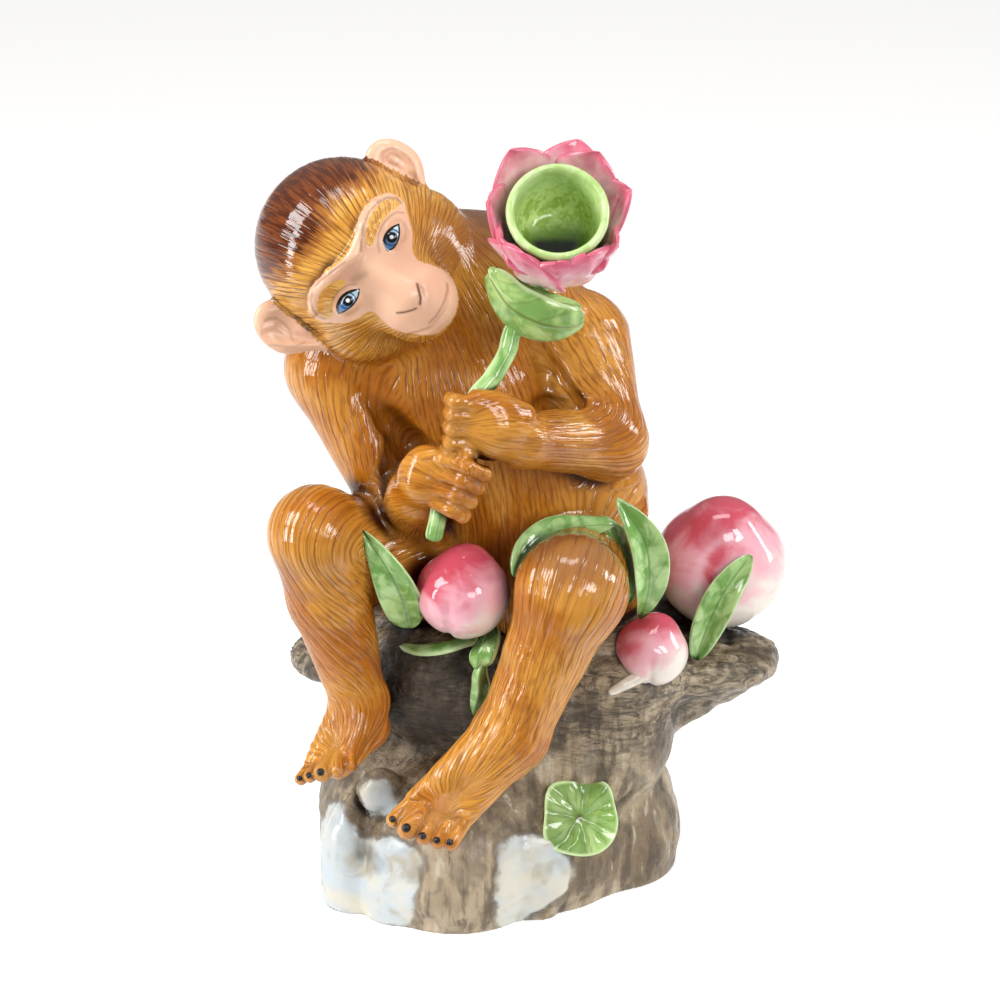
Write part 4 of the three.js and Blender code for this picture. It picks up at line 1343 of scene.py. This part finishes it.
def tube(path, radius, rows=120, sides=28, closing=4, taper=0.0):
    """A round stem along a path, with rounded ends."""
    line = spline(path, rows)
    along = np.gradient(line, axis=0)
    along /= np.linalg.norm(along, axis=1)[:, None]
    x = np.cross(along, [0.2, -1, 0.1])
    x /= np.linalg.norm(x, axis=1)[:, None]
    y = np.cross(along, x)
    turn = np.linspace(0, 2 * np.pi, sides, endpoint=False)
    end = np.minimum(np.arange(rows), np.arange(rows)[::-1]) / closing
    size = radius * np.sqrt(
        np.clip(1 - np.clip(1 - end, 0, 1) ** 4, 0.0004, 1)
    ) * np.linspace(1, 1 - taper, rows)
    ring = x[:, None] * np.cos(turn)[:, None] + y[:, None] * np.sin(turn)[:, None]
    points = line[:, None] + size[:, None, None] * ring
    uneven = 0.25 * noise(points.reshape(-1, 3) / 5, 41).reshape(rows, sides, 1)
    points = points + uneven * (points - line[:, None]) / radius
    along_share = np.repeat(np.linspace(0, 1, rows), sides)
    across = np.stack([np.tile(np.cos(turn), rows), along_share, np.ones(rows * sides)], 1)
    return points.reshape(-1, 3), bands(rows, sides), across


points, quads, leaf = tube(STEM, STEM_RADIUS)
stem_piece = pooled_piece("stem", points, quads, leaf=leaf)

# %% [markdown]
# ## Peaches
#
# A peach is a ball drawn out to a soft tip, with a cleft pressed along part of a circle. A ball of
# rings is enough for that, and the cleft's place goes to the glaze: deeper crimson on the inside of
# its curve, and a painted highlight just outside it.

# %% Peach meshes
def peach(at, radius, tip, cleft, opening, deep, towards, pink, rings=64, segments=100):
    """A ball drawn out to a tip, with a cleft along part of a circle round a direction."""
    lat = np.linspace(-0.999, 0.999, rings) * np.pi / 2
    points, quads = lathe(np.stack([np.cos(lat), np.sin(lat)], 1), segments)
    points = points @ axes_of(tip, [1, 0.3, 0])
    high = points @ unit(tip)
    beyond = np.arccos(np.clip(points @ unit(cleft), -1, 1)) - opening
    here = smoothstep(0.1, 0.7, points @ unit(towards))
    groove = deep * here * (np.exp(-((beyond / 0.1) ** 2)) + 0.5 * np.exp(-((beyond / 0.3) ** 2)))
    shoulder = 0.055 * np.exp(-(((np.arccos(high) - 0.8) / 0.35) ** 2))
    lumps = 0.02 * turbulence(points * 1.5 + radius, 2, 5)
    shape = 0.99 + 0.05 * np.maximum(0, high) ** 10 - shoulder - groove + lumps
    blush = points @ unit([-0.3, 0.1, 0.95]) + pink
    # The fold: deeper crimson inside the cleft's curve, and a painted highlight just outside it.
    fold = here * (
        np.exp(-(((beyond + 0.16) / 0.14) ** 2)) - 0.5 * np.exp(-(((beyond - 0.06) / 0.06) ** 2))
    )
    fold = fold * (1 if opening < 1 else 0.2)
    return points * (shape * radius)[:, None] + at, quads, np.stack([fold, blush, high], 1)


points, quads, coords = join([peach(**p) for p in PEACHES])
peaches_piece = pooled_piece("peaches", points, quads, peach=coords)

# %% [markdown]
# ## Leaf on the rock, and stalk
#
# The round leaf is a thin dish pressed onto the rock and waved at its rim, so a turned dish is bent
# by waves round it. The small peach keeps a stub of its stalk, which tapers.

# %% Rock leaf and stalk
ROCK_LEAF = dict(at=[30.5, -45, 41], facing=[0.2, -0.88, 0.42], radius=15)
rings, segments = 40, 120
share = np.linspace(0.002, 1, rings)
rim = [[r * ROCK_LEAF["radius"], 1.0 * np.sin(r * 2.4) ** 2 - 1.2 + 0.8 * r] for r in share]
rim += [
    [ROCK_LEAF["radius"] * 1.02, -0.6], [ROCK_LEAF["radius"] * 0.99, -1.8],
    [ROCK_LEAF["radius"] * 0.9, -6]
]
points, quads = lathe(rim, segments)
turn = np.arctan2(points[:, 1], points[:, 0])
reach = np.linalg.norm(points[:, :2], axis=1) / ROCK_LEAF["radius"]
swell = 1 + (0.06 * np.cos(4 * turn + np.pi) + 0.035 * np.cos(5 * turn + 1)) * reach
points[:, :2] *= swell[:, None]
folds = np.cos(7 * turn + 1.5 * noise(points / 7, 77)) * smoothstep(0.1, 0.5, reach)
points[:, 2] += 0.7 * folds + 1.2 * noise(points / 9, 78) * reach
coords = np.stack([turn, reach, points[:, 2]], 1)
points = points @ axes_of(ROCK_LEAF["facing"], [1, 0, 0]) + ROCK_LEAF["at"]
rock_leaf_piece = pooled_piece("rock_leaf", points, quads, 0.6, disc=coords)

points, quads, leaf = tube(
    [[56, -35, 98], [48, -38.5, 94.8], [40.5, -41, 91.6]], 3, rows=40, closing=9, taper=0.5
)
stalk_piece = make_piece("stalk", points, quads, leaf=leaf, place=points)


# %% [markdown]
# ## Glazes
#
# Porcelain enamels are thin colour under a thick clear gloss. Each glaze is a Principled shader
# with low roughness. What makes it look real is the colour: it is paler on ridges, where the glaze
# ran off, and darker in grooves and hollows, where it gathered. In the hollows the darkening is also
# painted shade.


# %% Node helpers
def new_material(name, roughness=0.07):
    material = bpy.data.materials.new(name)
    material.use_nodes = True
    tree = material.node_tree
    shader = tree.nodes["Principled BSDF"]
    shader.inputs["Roughness"].default_value = roughness
    shader.inputs["IOR"].default_value = 1.52
    return material, tree, shader


def connect(tree, socket, value):
    """Feeds a socket from another socket, or sets it."""
    if isinstance(value, bpy.types.NodeSocket):
        tree.links.new(value, socket)
    else:
        socket.default_value = value


def put(tree, kind, inputs=None, **settings):
    """A node with its settings and inputs."""
    node = tree.nodes.new(kind)
    for key, value in settings.items():
        setattr(node, key, value)
    for key, value in (inputs or {}).items():
        connect(tree, node.inputs[key], value)
    return node


def srgb(r, g, b):
    """A colour from its 0 to 255 screen values."""
    c = np.array([r, g, b]) / 255
    return (*np.where(c <= 0.04045, c / 12.92, ((c + 0.055) / 1.055) ** 2.4), 1)


def number(tree, name):
    """A number that the mesh carries."""
    return put(tree, "ShaderNodeAttribute", attribute_name=name).outputs["Fac"]


def vector(tree, name):
    """A vector that the mesh carries."""
    return put(tree, "ShaderNodeAttribute", attribute_name=name).outputs["Vector"]


def parts(tree, name):
    """The three numbers of a vector that the mesh carries."""
    return put(tree, "ShaderNodeSeparateXYZ", {0: vector(tree, name)}).outputs


def fade(tree, value, low, high):
    """From 0 to 1 as a value goes from low to high."""
    inputs = {"Value": value, "From Min": low, "From Max": high}
    return put(tree, "ShaderNodeMapRange", inputs, interpolation_type="SMOOTHSTEP").outputs[0]


def blend(tree, share, a, b):
    """From colour a to colour b by a share."""
    return put(tree, "ShaderNodeMix", {0: share, 6: a, 7: b}, data_type="RGBA").outputs[2]


def blend_number(tree, share, a, b):
    """From number a to number b by a share."""
    return put(tree, "ShaderNodeMix", {0: share, 2: a, 3: b}, data_type="FLOAT").outputs[0]


def math(tree, operation, a, b=0.0):
    return put(tree, "ShaderNodeMath", {0: a, 1: b}, operation=operation).outputs[0]


def times(tree, a, b):
    return math(tree, "MULTIPLY", a, b)


def plus(tree, a, b):
    return math(tree, "ADD", a, b)


def minus(tree, a, b):
    return math(tree, "SUBTRACT", a, b)


def tint(tree, tone, mask, amount, colour):
    """A colour laid over a tone where a mask says, by an amount at most."""
    return blend(tree, times(tree, mask, amount), tone, colour)


def cloud(tree, scale, detail=3.0, warp=0.0):
    """Soft noise over the figure, in bumps per millimetre."""
    inputs = {"Vector": vector(tree, "place"), "Scale": scale, "Detail": detail, "Distortion": warp}
    return put(tree, "ShaderNodeTexNoise", inputs).outputs[0]


def finish(material, colour, height, strength, pieces, distance=0.0004):
    """Connects the colour and the relief, and puts the material on its pieces."""
    tree = material.node_tree
    shader = tree.nodes["Principled BSDF"]
    tree.links.new(colour, shader.inputs["Base Color"])
    bump = put(tree, "ShaderNodeBump", {"Height": height, "Strength": strength, "Distance": distance})
    tree.links.new(bump.outputs[0], shader.inputs["Normal"])
    for piece in pieces:
        piece.data.materials.append(material)


# %% [markdown]
# The combing in the glaze has to fall on the same grooves as in the skin. So the shader works out
# the same rows from the coordinates that the mesh carries: the turn round the path times a whole
# number, plus the stray. Noise then lets single grooves fade in and out, as a comb's teeth do.


# %% Combed rows as a node group
combed = bpy.data.node_groups.new("combed rows", "ShaderNodeTree")
for name, kind in (
    ("Coordinates A", "Vector"),
    ("Coordinates B", "Vector"),
    ("Stray", "Vector"),
    ("Share", "Float"),
    ("Pitch", "Float"),
):
    combed.interface.new_socket(name, in_out="INPUT", socket_type="NodeSocket" + kind)
combed.interface.new_socket("Groove", in_out="OUTPUT", socket_type="NodeSocketFloat")
combed.interface.new_socket("Strand", in_out="OUTPUT", socket_type="NodeSocketFloat")
entry, leave = combed.nodes.new("NodeGroupInput").outputs, combed.nodes.new("NodeGroupOutput").inputs
stray = put(combed, "ShaderNodeSeparateXYZ", {0: entry["Stray"]}).outputs
grooves, strands = [], []
for key, off in (("Coordinates A", stray[0]), ("Coordinates B", stray[1])):
    x, y, _ = put(combed, "ShaderNodeSeparateXYZ", {0: entry[key]}).outputs
    flat = put(combed, "ShaderNodeCombineXYZ", {0: x, 1: y}).outputs[0]
    reach = put(combed, "ShaderNodeVectorMath", {0: flat}, operation="LENGTH").outputs["Value"]
    half = math(combed, "ROUND", math(combed, "DIVIDE", times(combed, reach, np.pi), entry["Pitch"]))
    turn = times(combed, math(combed, "ARCTAN2", y, x), times(combed, half, 2.0))
    wave = math(combed, "COSINE", plus(combed, turn, off))
    inputs = {"Vector": entry[key], "Scale": 0.42, "Detail": 1.0}
    kept = fade(combed, put(combed, "ShaderNodeTexNoise", inputs).outputs[0], 0.36, 0.56)
    grooves.append(times(combed, fade(combed, wave, 0.35, 1.0), kept))
    inputs = {"Vector": entry[key], "Scale": 1.1, "Detail": 2.0}
    strands.append(put(combed, "ShaderNodeTexNoise", inputs).outputs[0])
for target, pair in zip(leave, (grooves, strands)):
    mixed = put(combed, "ShaderNodeMix", {0: entry["Share"], 2: pair[0], 3: pair[1]}, data_type="FLOAT")
    combed.links.new(mixed.outputs[0], target)


def comb_marks(tree, pitch=ROW):
    """The groove and strand masks of the combing that a mesh carries."""
    group = put(tree, "ShaderNodeGroup", node_tree=combed)
    inputs = (
        vector(tree, "comb_a"), vector(tree, "comb_b"), vector(tree, "stray"),
        number(tree, "comb_share"), pitch
    )
    for socket, value in zip(group.inputs, inputs):
        connect(tree, socket, value)
    return group.outputs[0], group.outputs[1]


# %% [markdown]
# ## Fur
#
# Amber glaze over cream, brown in the grooves and purplish brown in the deep shade. One function
# serves body and head, with four colours each, so that both look combed by the same hand.

# %% Fur glaze
def fur_tone(tree, light, middle, groove_colour, deep, depth=0.6):
    """The colour of combed, glazed fur, and the height of its strands."""
    groove, strand = comb_marks(tree)
    groove = times(tree, groove, number(tree, "combed"))
    tone = blend(tree, fade(tree, cloud(tree, 0.03, 4.0, 1.0), 0.38, 0.62), light, middle)
    tone = tint(tree, tone, fade(tree, strand, 0.56, 0.3), 0.5, groove_colour)
    _, _, relief = parts(tree, "stray")
    tone = tint(tree, tone, fade(tree, relief, -0.1, -0.9), 0.22, groove_colour)
    strength = blend_number(tree, fade(tree, cloud(tree, 0.045), 0.35, 0.62), 0.45 * depth, depth)
    tone = tint(tree, tone, groove, strength, groove_colour)
    # Glaze gathered in hollows, and painted shade: the colour turns to `deep` there.
    tone = blend(tree, fade(tree, number(tree, "pool"), 0.15, 0.9), tone, deep)
    height = minus(tree, times(tree, strand, 0.9), groove)
    return tone, height, strand


fur, tree, shader = new_material("amber fur")
tone, height, _ = fur_tone(
    tree, srgb(206, 142, 56), srgb(180, 108, 26), srgb(116, 58, 6), srgb(66, 26, 2), 0.5
)
tone = tint(tree, tone, fade(tree, cloud(tree, 0.018, 3.0, 1.0), 0.6, 0.72), 0.5, srgb(132, 80, 54))
tone = tint(tree, tone, number(tree, "dusk"), 0.9, srgb(120, 78, 54))
nail = fade(tree, number(tree, "nail"), 0.35, 0.05)
tone = blend(tree, nail, tone, srgb(16, 10, 8))
finish(fur, tone, height, 0.5, fur_pieces)

# %% [markdown]
# The face is painted over the fur colour in layers: bare skin up to a hairy edge, the dark crown,
# brush lines, then the eyes. Each eye is pale blue with a darker rim, a black pupil and a painted
# highlight, a dot of white, inside a dark lid line that is thickest above.

# %% Face glaze
face, tree, shader = new_material("painted head")
tone, height, strand = fur_tone(
    tree, srgb(232, 174, 84), srgb(212, 148, 56), srgb(104, 60, 10), srgb(74, 30, 4), 0.85
)
hair = minus(tree, strand, 0.5)
crown = plus(tree, number(tree, "crown"), times(tree, hair, 12.0))
tone = tint(tree, tone, fade(tree, crown, 4.0, 0.5), 0.75, srgb(134, 66, 20))
dark_hair = tint(tree, srgb(66, 18, 2), fade(tree, strand, 0.42, 0.62), 0.75, srgb(122, 58, 16))
tone = tint(tree, tone, fade(tree, crown, 0.5, -3.5), 0.92, dark_hair)
# Darker brown where the head's hair nears the body.
near_body = fade(tree, plus(tree, number(tree, "neck"), times(tree, hair, 8.0)), 12.0, 0.0)
tone = tint(tree, tone, near_body, 0.75, srgb(150, 84, 26))
gold = tint(tree, srgb(248, 196, 104), fade(tree, strand, 0.56, 0.4), 0.7, srgb(196, 128, 40))
tone = blend(tree, fade(tree, number(tree, "brow"), 0.8, 0.2), tone, gold)
edge = plus(tree, number(tree, "skin"), times(tree, hair, 1.6))
bare = fade(tree, edge, 0.3, -0.1)
# Glaze gathered in hollows, and painted shade: the bare skin darkens there.
skin = blend(tree, fade(tree, number(tree, "pool"), 0.4, 1.2), srgb(234, 188, 156), srgb(196, 132, 102))
skin = blend(tree, fade(tree, cloud(tree, 0.08), 0.35, 0.7), skin, srgb(228, 178, 148))
tone = blend(tree, bare, tone, skin)
tone = blend(tree, number(tree, "ink"), tone, srgb(70, 34, 22))
across, up, lids = parts(tree, "eye")


def ring(tree, shift_across, shift_up, radius, soft=0.25):
    """1 inside a ring round a point of the eye."""
    inputs = {0: minus(tree, across, shift_across), 1: minus(tree, up, shift_up)}
    flat = put(tree, "ShaderNodeCombineXYZ", inputs).outputs[0]
    far = put(tree, "ShaderNodeVectorMath", {0: flat}, operation="LENGTH").outputs["Value"]
    return fade(tree, far, radius + soft, radius - soft)


blue = blend(tree, fade(tree, across, -3.0, 4.0), srgb(82, 122, 176), srgb(176, 208, 226))
blue = blend(
    tree, minus(tree, ring(tree, 0.0, 0.0, 3.3), ring(tree, 0.0, 0.0, 2.75)), blue,
    srgb(40, 66, 104)
)
blue = blend(tree, ring(tree, 0.0, 0.0, 2.1), blue, srgb(8, 8, 10))
# Painted highlight: a white dot on the pupil.
blue = blend(tree, ring(tree, 0.1, 0.1, 0.75), blue, srgb(236, 240, 244))
rim = plus(tree, lids, times(tree, fade(tree, up, -0.6, 1.4), 0.55))
blue = blend(tree, fade(tree, rim, -0.55, -0.25), blue, srgb(14, 12, 14))
tone = blend(tree, fade(tree, lids, 0.35, 0.1), tone, blue)
height = times(tree, height, minus(tree, 1.0, bare))
dull = times(tree, bare, fade(tree, lids, 0.1, 0.35))
tree.links.new(blend_number(tree, dull, 0.07, 0.3), shader.inputs["Roughness"])
finish(face, tone, height, 0.5, head_pieces)

# %% [markdown]
# ## Rock
#
# Washed browns and greys ran down the wood and along the ledge, which stretched noise imitates.
# The pale rocks are painted outlines with a wandering edge and a brown rim.

# %% Rock glaze
rock, tree, shader = new_material("washed rock", 0.12)
bark = number(tree, "bark")
streak = put(
    tree, "ShaderNodeMapping", {"Vector": vector(tree, "place"), "Scale": (0.2, 0.2, 0.035)}
).outputs[0]
streak = put(
    tree, "ShaderNodeTexNoise", {"Vector": streak, "Scale": 1.0, "Detail": 5.0, "Roughness": 0.6}
).outputs[0]
grain = cloud(tree, 0.55, 5.0, 0.8)
tone = blend(
    tree, fade(tree, cloud(tree, 0.03, 4.0, 1.0), 0.4, 0.6), srgb(170, 152, 124), srgb(120, 102, 76)
)
tone = tint(tree, tone, fade(tree, streak, 0.52, 0.36), 0.8, srgb(78, 62, 44))
tone = tint(tree, tone, fade(tree, streak, 0.56, 0.66), 0.6, srgb(196, 186, 166))
flow = put(
    tree, "ShaderNodeMapping", {"Vector": vector(tree, "place"), "Scale": (0.09, 0.4, 0.4)}
).outputs[0]
inputs = {"Vector": flow, "Scale": 1.0, "Detail": 7.0, "Roughness": 0.72, "Distortion": 0.8}
flow = put(tree, "ShaderNodeTexNoise", inputs).outputs[0]
ledge = times(tree, number(tree, "rough"), 0.9)
tone = tint(tree, tone, ledge, fade(tree, flow, 0.58, 0.38), srgb(46, 38, 26))
tone = tint(tree, tone, ledge, fade(tree, flow, 0.56, 0.7), srgb(176, 166, 146))
tone = tint(tree, tone, fade(tree, bark, 0.0, -0.7), 0.5, srgb(62, 50, 36))
# Dark brown paint and painted shade on the wall between the legs.
dark = plus(tree, number(tree, "dark"), times(tree, minus(tree, cloud(tree, 0.1), 0.5), 14.0))
tone = tint(tree, tone, fade(tree, dark, 5.0, -2.0), 0.82, srgb(40, 30, 18))
chalk = blend(
    tree, fade(tree, cloud(tree, 0.045, 3.0, 1.2), 0.3, 0.7), srgb(180, 190, 196),
    srgb(198, 194, 180)
)
chalk = tint(tree, chalk, fade(tree, cloud(tree, 0.09, 5.0, 1.0), 0.5, 0.75), 0.7, srgb(160, 146, 118))
pale = plus(tree, number(tree, "pale"), times(tree, minus(tree, cloud(tree, 0.16), 0.5), 6.0))
covered = fade(tree, pale, 1.6, -1.2)
rim = fade(tree, math(tree, "ABSOLUTE", plus(tree, pale, -0.6)), 2.2, 0.2)
tone = blend(tree, covered, tone, chalk)
tone = tint(tree, tone, rim, 0.6, srgb(96, 78, 54))
# Glaze gathered in hollows, and painted shade: hollows turn almost black.
tone = blend(tree, fade(tree, number(tree, "pool"), 0.2, 0.95), tone, srgb(30, 22, 14))
height = plus(tree, times(tree, grain, 1.4), times(tree, plus(tree, streak, flow), 1.2))
height = times(tree, height, minus(tree, 1.0, times(tree, covered, 0.85)))
finish(rock, tone, height, 0.7, [stump_piece], 0.0008)

# %% [markdown]
# Leaves are a yellowish green with a darker green in the midrib and ribs. The glaze ran thin on
# the rim, and painted highlight there makes it shine almost white.


# %% Leaf glaze
def green_tone(tree, light, middle, dark):
    tone = blend(tree, fade(tree, cloud(tree, 0.11, 4.0, 0.8), 0.36, 0.62), light, middle)
    # Glaze gathered in hollows, and painted shade: darker green there.
    return blend(tree, fade(tree, number(tree, "pool"), 0.15, 0.9), tone, dark)


def veined(name, light, middle, dark, vein_colour, pieces):
    """A leaf's glaze: dark midrib and ribs, and a pale rim of thin glaze and painted highlight."""
    made, tree, _ = new_material(name)
    tone = green_tone(tree, light, middle, dark)
    across, along, _ = parts(tree, "leaf")
    off = math(tree, "ABSOLUTE", across)
    rib = math(tree, "COSINE", minus(tree, times(tree, along, 22.0), times(tree, off, 6.0)))
    rib = math(tree, "MAXIMUM", times(tree, fade(tree, rib, 0.86, 1.0), 0.4), fade(tree, off, 0.09, 0.02))
    tone = tint(tree, tone, rib, 0.6, vein_colour)
    # Pale rim: thinner glaze there, and painted highlight.
    tone = blend(tree, fade(tree, off, 0.86, 1.0), tone, srgb(198, 222, 166))
    finish(made, tone, cloud(tree, 0.3), 0.25, pieces)


veined(
    "leaf green", srgb(178, 212, 144), srgb(116, 162, 82), srgb(46, 74, 26), srgb(82, 128, 58),
    [leaves_piece, stem_piece]
)
veined(
    "lotus leaf", srgb(176, 206, 128), srgb(122, 162, 84), srgb(60, 76, 30), srgb(98, 92, 40),
    [lotus_leaf_piece]
)

# %% [markdown]
# ## Round leaf and cup
#
# The round leaf has fine dark rays. The cup is a paler green inside, with painted shade at the
# bottom of its bore, darker on its lower side.

# %% Rock leaf and cup glazes
for name, piece in (("rock_leaf", rock_leaf_piece), ("cup", cup_piece)):
    made, tree, shader = new_material("green " + name)
    if name == "cup":
        tone = blend(
            tree, fade(tree, cloud(tree, 0.16, 5.0, 1.0), 0.36, 0.66), srgb(200, 222, 160),
            srgb(172, 202, 120)
        )
        radius, depth, low = parts(tree, "cup")
        inner = blend(
            tree, fade(tree, cloud(tree, 0.3, 5.0, 1.0), 0.4, 0.62), srgb(206, 228, 150),
            srgb(160, 188, 92)
        )
        tone = tint(tree, tone, fade(tree, depth, -4.0, -19.0), fade(tree, radius, 15.6, 14.6), inner)
        # Painted shade in the bore: darker towards the bottom and on its lower side, nearly black deepest
        # in.
        bottom = plus(tree, times(tree, low, 0.8), depth)
        tone = tint(
            tree, tone, fade(tree, bottom, -18.0, -27.0), fade(tree, radius, 14.0, 10.0),
            srgb(92, 118, 40)
        )
        tone = tint(
            tree, tone, fade(tree, bottom, -25.5, -28.0), fade(tree, radius, 10.5, 6.0),
            srgb(18, 28, 4)
        )
    else:
        turn, reach, _ = parts(tree, "disc")
        tone = green_tone(tree, srgb(182, 214, 136), srgb(142, 182, 94), srgb(70, 100, 40))
        drift = times(tree, minus(tree, cloud(tree, 0.15), 0.5), 3.0)
        rays = math(tree, "COSINE", times(tree, plus(tree, turn, times(tree, drift, 0.25)), 17.0))
        rays = times(tree, fade(tree, rays, 0.8, 1.0), fade(tree, reach, 0.1, 0.3))
        tone = tint(tree, tone, rays, 0.4, srgb(70, 96, 40))
        tone = blend(tree, fade(tree, reach, 0.9, 1.0), tone, srgb(196, 218, 160))
        tone = blend(tree, fade(tree, reach, 0.16, 0.04), tone, srgb(88, 104, 52))
    finish(made, tone, cloud(tree, 0.3), 0.25, [piece])

# %% [markdown]
# ## Petals
#
# Nearly white at the foot, pink towards the tip, and crimson along the edge, as if brushed from it.

# %% Petal glaze
rose, tree, shader = new_material("petal rose")
across, along, _ = parts(tree, "leaf")
off = math(tree, "ABSOLUTE", across)
mottle = times(tree, minus(tree, cloud(tree, 0.18, 4.0), 0.5), 0.7)
tone = blend(
    tree, fade(tree, plus(tree, along, mottle), 0.3, 1.0), srgb(240, 224, 226), srgb(232, 166, 182)
)
rim = math(tree, "MAXIMUM", times(tree, off, 1.0), along)
rim = plus(tree, rim, times(tree, mottle, 0.3))
tone = tint(tree, tone, fade(tree, rim, 0.78, 1.02), 0.9, srgb(206, 84, 112))
# Glaze gathered in hollows, and painted shade: brown there.
tone = tint(tree, tone, fade(tree, number(tree, "pool"), 0.8, 1.3), 0.6, srgb(110, 78, 52))
finish(rose, tone, cloud(tree, 0.3), 0.2, [petals_piece])

# %% [markdown]
# ## Peach skin
#
# Crimson was sprayed from above over a cream ground, so the colour follows height, broken by noise.

# %% Peach glaze
blush, tree, shader = new_material("peach blush")
fold, high, _ = parts(tree, "peach")
mottle = times(tree, minus(tree, cloud(tree, 0.07, 4.0, 0.6), 0.5), 1.7)
# The fold adds crimson inside the cleft's curve, and its painted highlight just outside.
ripe = plus(tree, plus(tree, high, mottle), times(tree, fold, 0.4))
tone = blend(tree, fade(tree, ripe, -0.75, -0.1), srgb(228, 218, 208), srgb(232, 172, 184))
tone = tint(tree, tone, fade(tree, ripe, -0.1, 0.6), 0.95, srgb(200, 70, 90))
# Glaze gathered in hollows, and painted shade: brown where a peach meets its neighbours.
tone = blend(tree, fade(tree, number(tree, "pool"), 0.8, 1.3), tone, srgb(94, 68, 50))
finish(blush, tone, cloud(tree, 0.3), 0.15, [peaches_piece])

# %% [markdown]
# ## Stalk
#
# The stalk was left cream, with a little grey in the glaze.

# %% Stalk glaze
cream, tree, shader = new_material("stalk cream")
tone = blend(tree, fade(tree, cloud(tree, 0.2), 0.4, 0.6), srgb(232, 226, 214), srgb(214, 204, 190))
finish(cream, tone, cloud(tree, 0.3), 0.2, [stalk_piece])

# %% [markdown]
# ## Studio
#
# Glossy porcelain shows its lights as shapes. A large soft box and a strip stand to the viewer's
# left, two boxes to the right light the arm and the flank, a strip hangs above, and a small box in
# front fills the shadows. The floor ends in front of the figure, because the glaze would mirror
# it there as a milky veil.

# %% Floor and lights
floor_mesh = bpy.data.meshes.new("floor")
reach, near = 6.0, -0.17
floor_mesh.from_pydata(
    [(-reach, near, 0), (reach, near, 0), (reach, reach, 0), (-reach, reach, 0)], [], [(0, 1, 2, 3)]
)
floor = bpy.data.objects.new("floor", floor_mesh)
bpy.context.scene.collection.objects.link(floor)
paper, tree, shader = new_material("paper", 0.9)
shader.inputs["Base Color"].default_value = (0.6, 0.595, 0.59, 1)
shader.inputs["Emission Color"].default_value = (1, 0.995, 0.985, 1)
shader.inputs["Emission Strength"].default_value = 0.6
floor.data.materials.append(paper)
floor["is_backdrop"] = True


def soft_box(name, direction, distance, size, radiance):
    """An area light of a size and brightness, which the camera doesn't see."""
    light = bpy.data.lights.new(name, "AREA")
    light.shape = "RECTANGLE"
    light.size, light.size_y = size
    light.energy = radiance * np.pi * size[0] * size[1]
    middle = Vector((TARGET[0], TARGET[1], 0.18))
    box = looking_at(
        bpy.data.objects.new(name, light), middle + Vector(direction).normalized() * distance,
        middle
    )
    box.visible_camera = False


soft_box("key_box", (-0.81, -0.21, 0.57), 1.3, (0.5, 0.58), 12)
soft_box("left_strip", (-0.85, -0.38, 0.1), 1.3, (0.22, 0.6), 15)
soft_box("right_box", (0.57, -0.69, 0.44), 1.3, (0.26, 0.45), 13)
soft_box("side_box", (0.93, 0.05, 0.35), 1.3, (0.26, 0.5), 14)
soft_box("top_strip", (0, -0.1, 1), 1.2, (0.7, 0.25), 7)
soft_box("front_box", (0.3, -0.85, 0.32), 1.3, (0.42, 0.34), 9)
print("lights:", [light.name for light in bpy.data.lights])
sky = bpy.data.worlds.new("studio")
sky.use_nodes = True
tree = sky.node_tree
above = put(
    tree, "ShaderNodeSeparateXYZ", {0: put(tree, "ShaderNodeTexCoord").outputs["Generated"]}
).outputs[2]
tone = blend(tree, fade(tree, above, 0.1, 0.9), (0.28, 0.28, 0.275, 1), (0.5, 0.495, 0.49, 1))
tree.links.new(tone, tree.nodes["Background"].inputs[0])
bpy.context.scene.world = sky
bpy.context.scene.view_settings.view_transform = "Standard"

# %% [markdown]
# ## Both boxes
#
# The last cell gives the boxes of the solid and of this model, side by side, so that they can be
# compared.

# %% Sizes and the end
boxes = {"cad": cad_box, "visual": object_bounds()}
{k: [list(map(float, corner)) for corner in v] for k, v in boxes.items()}
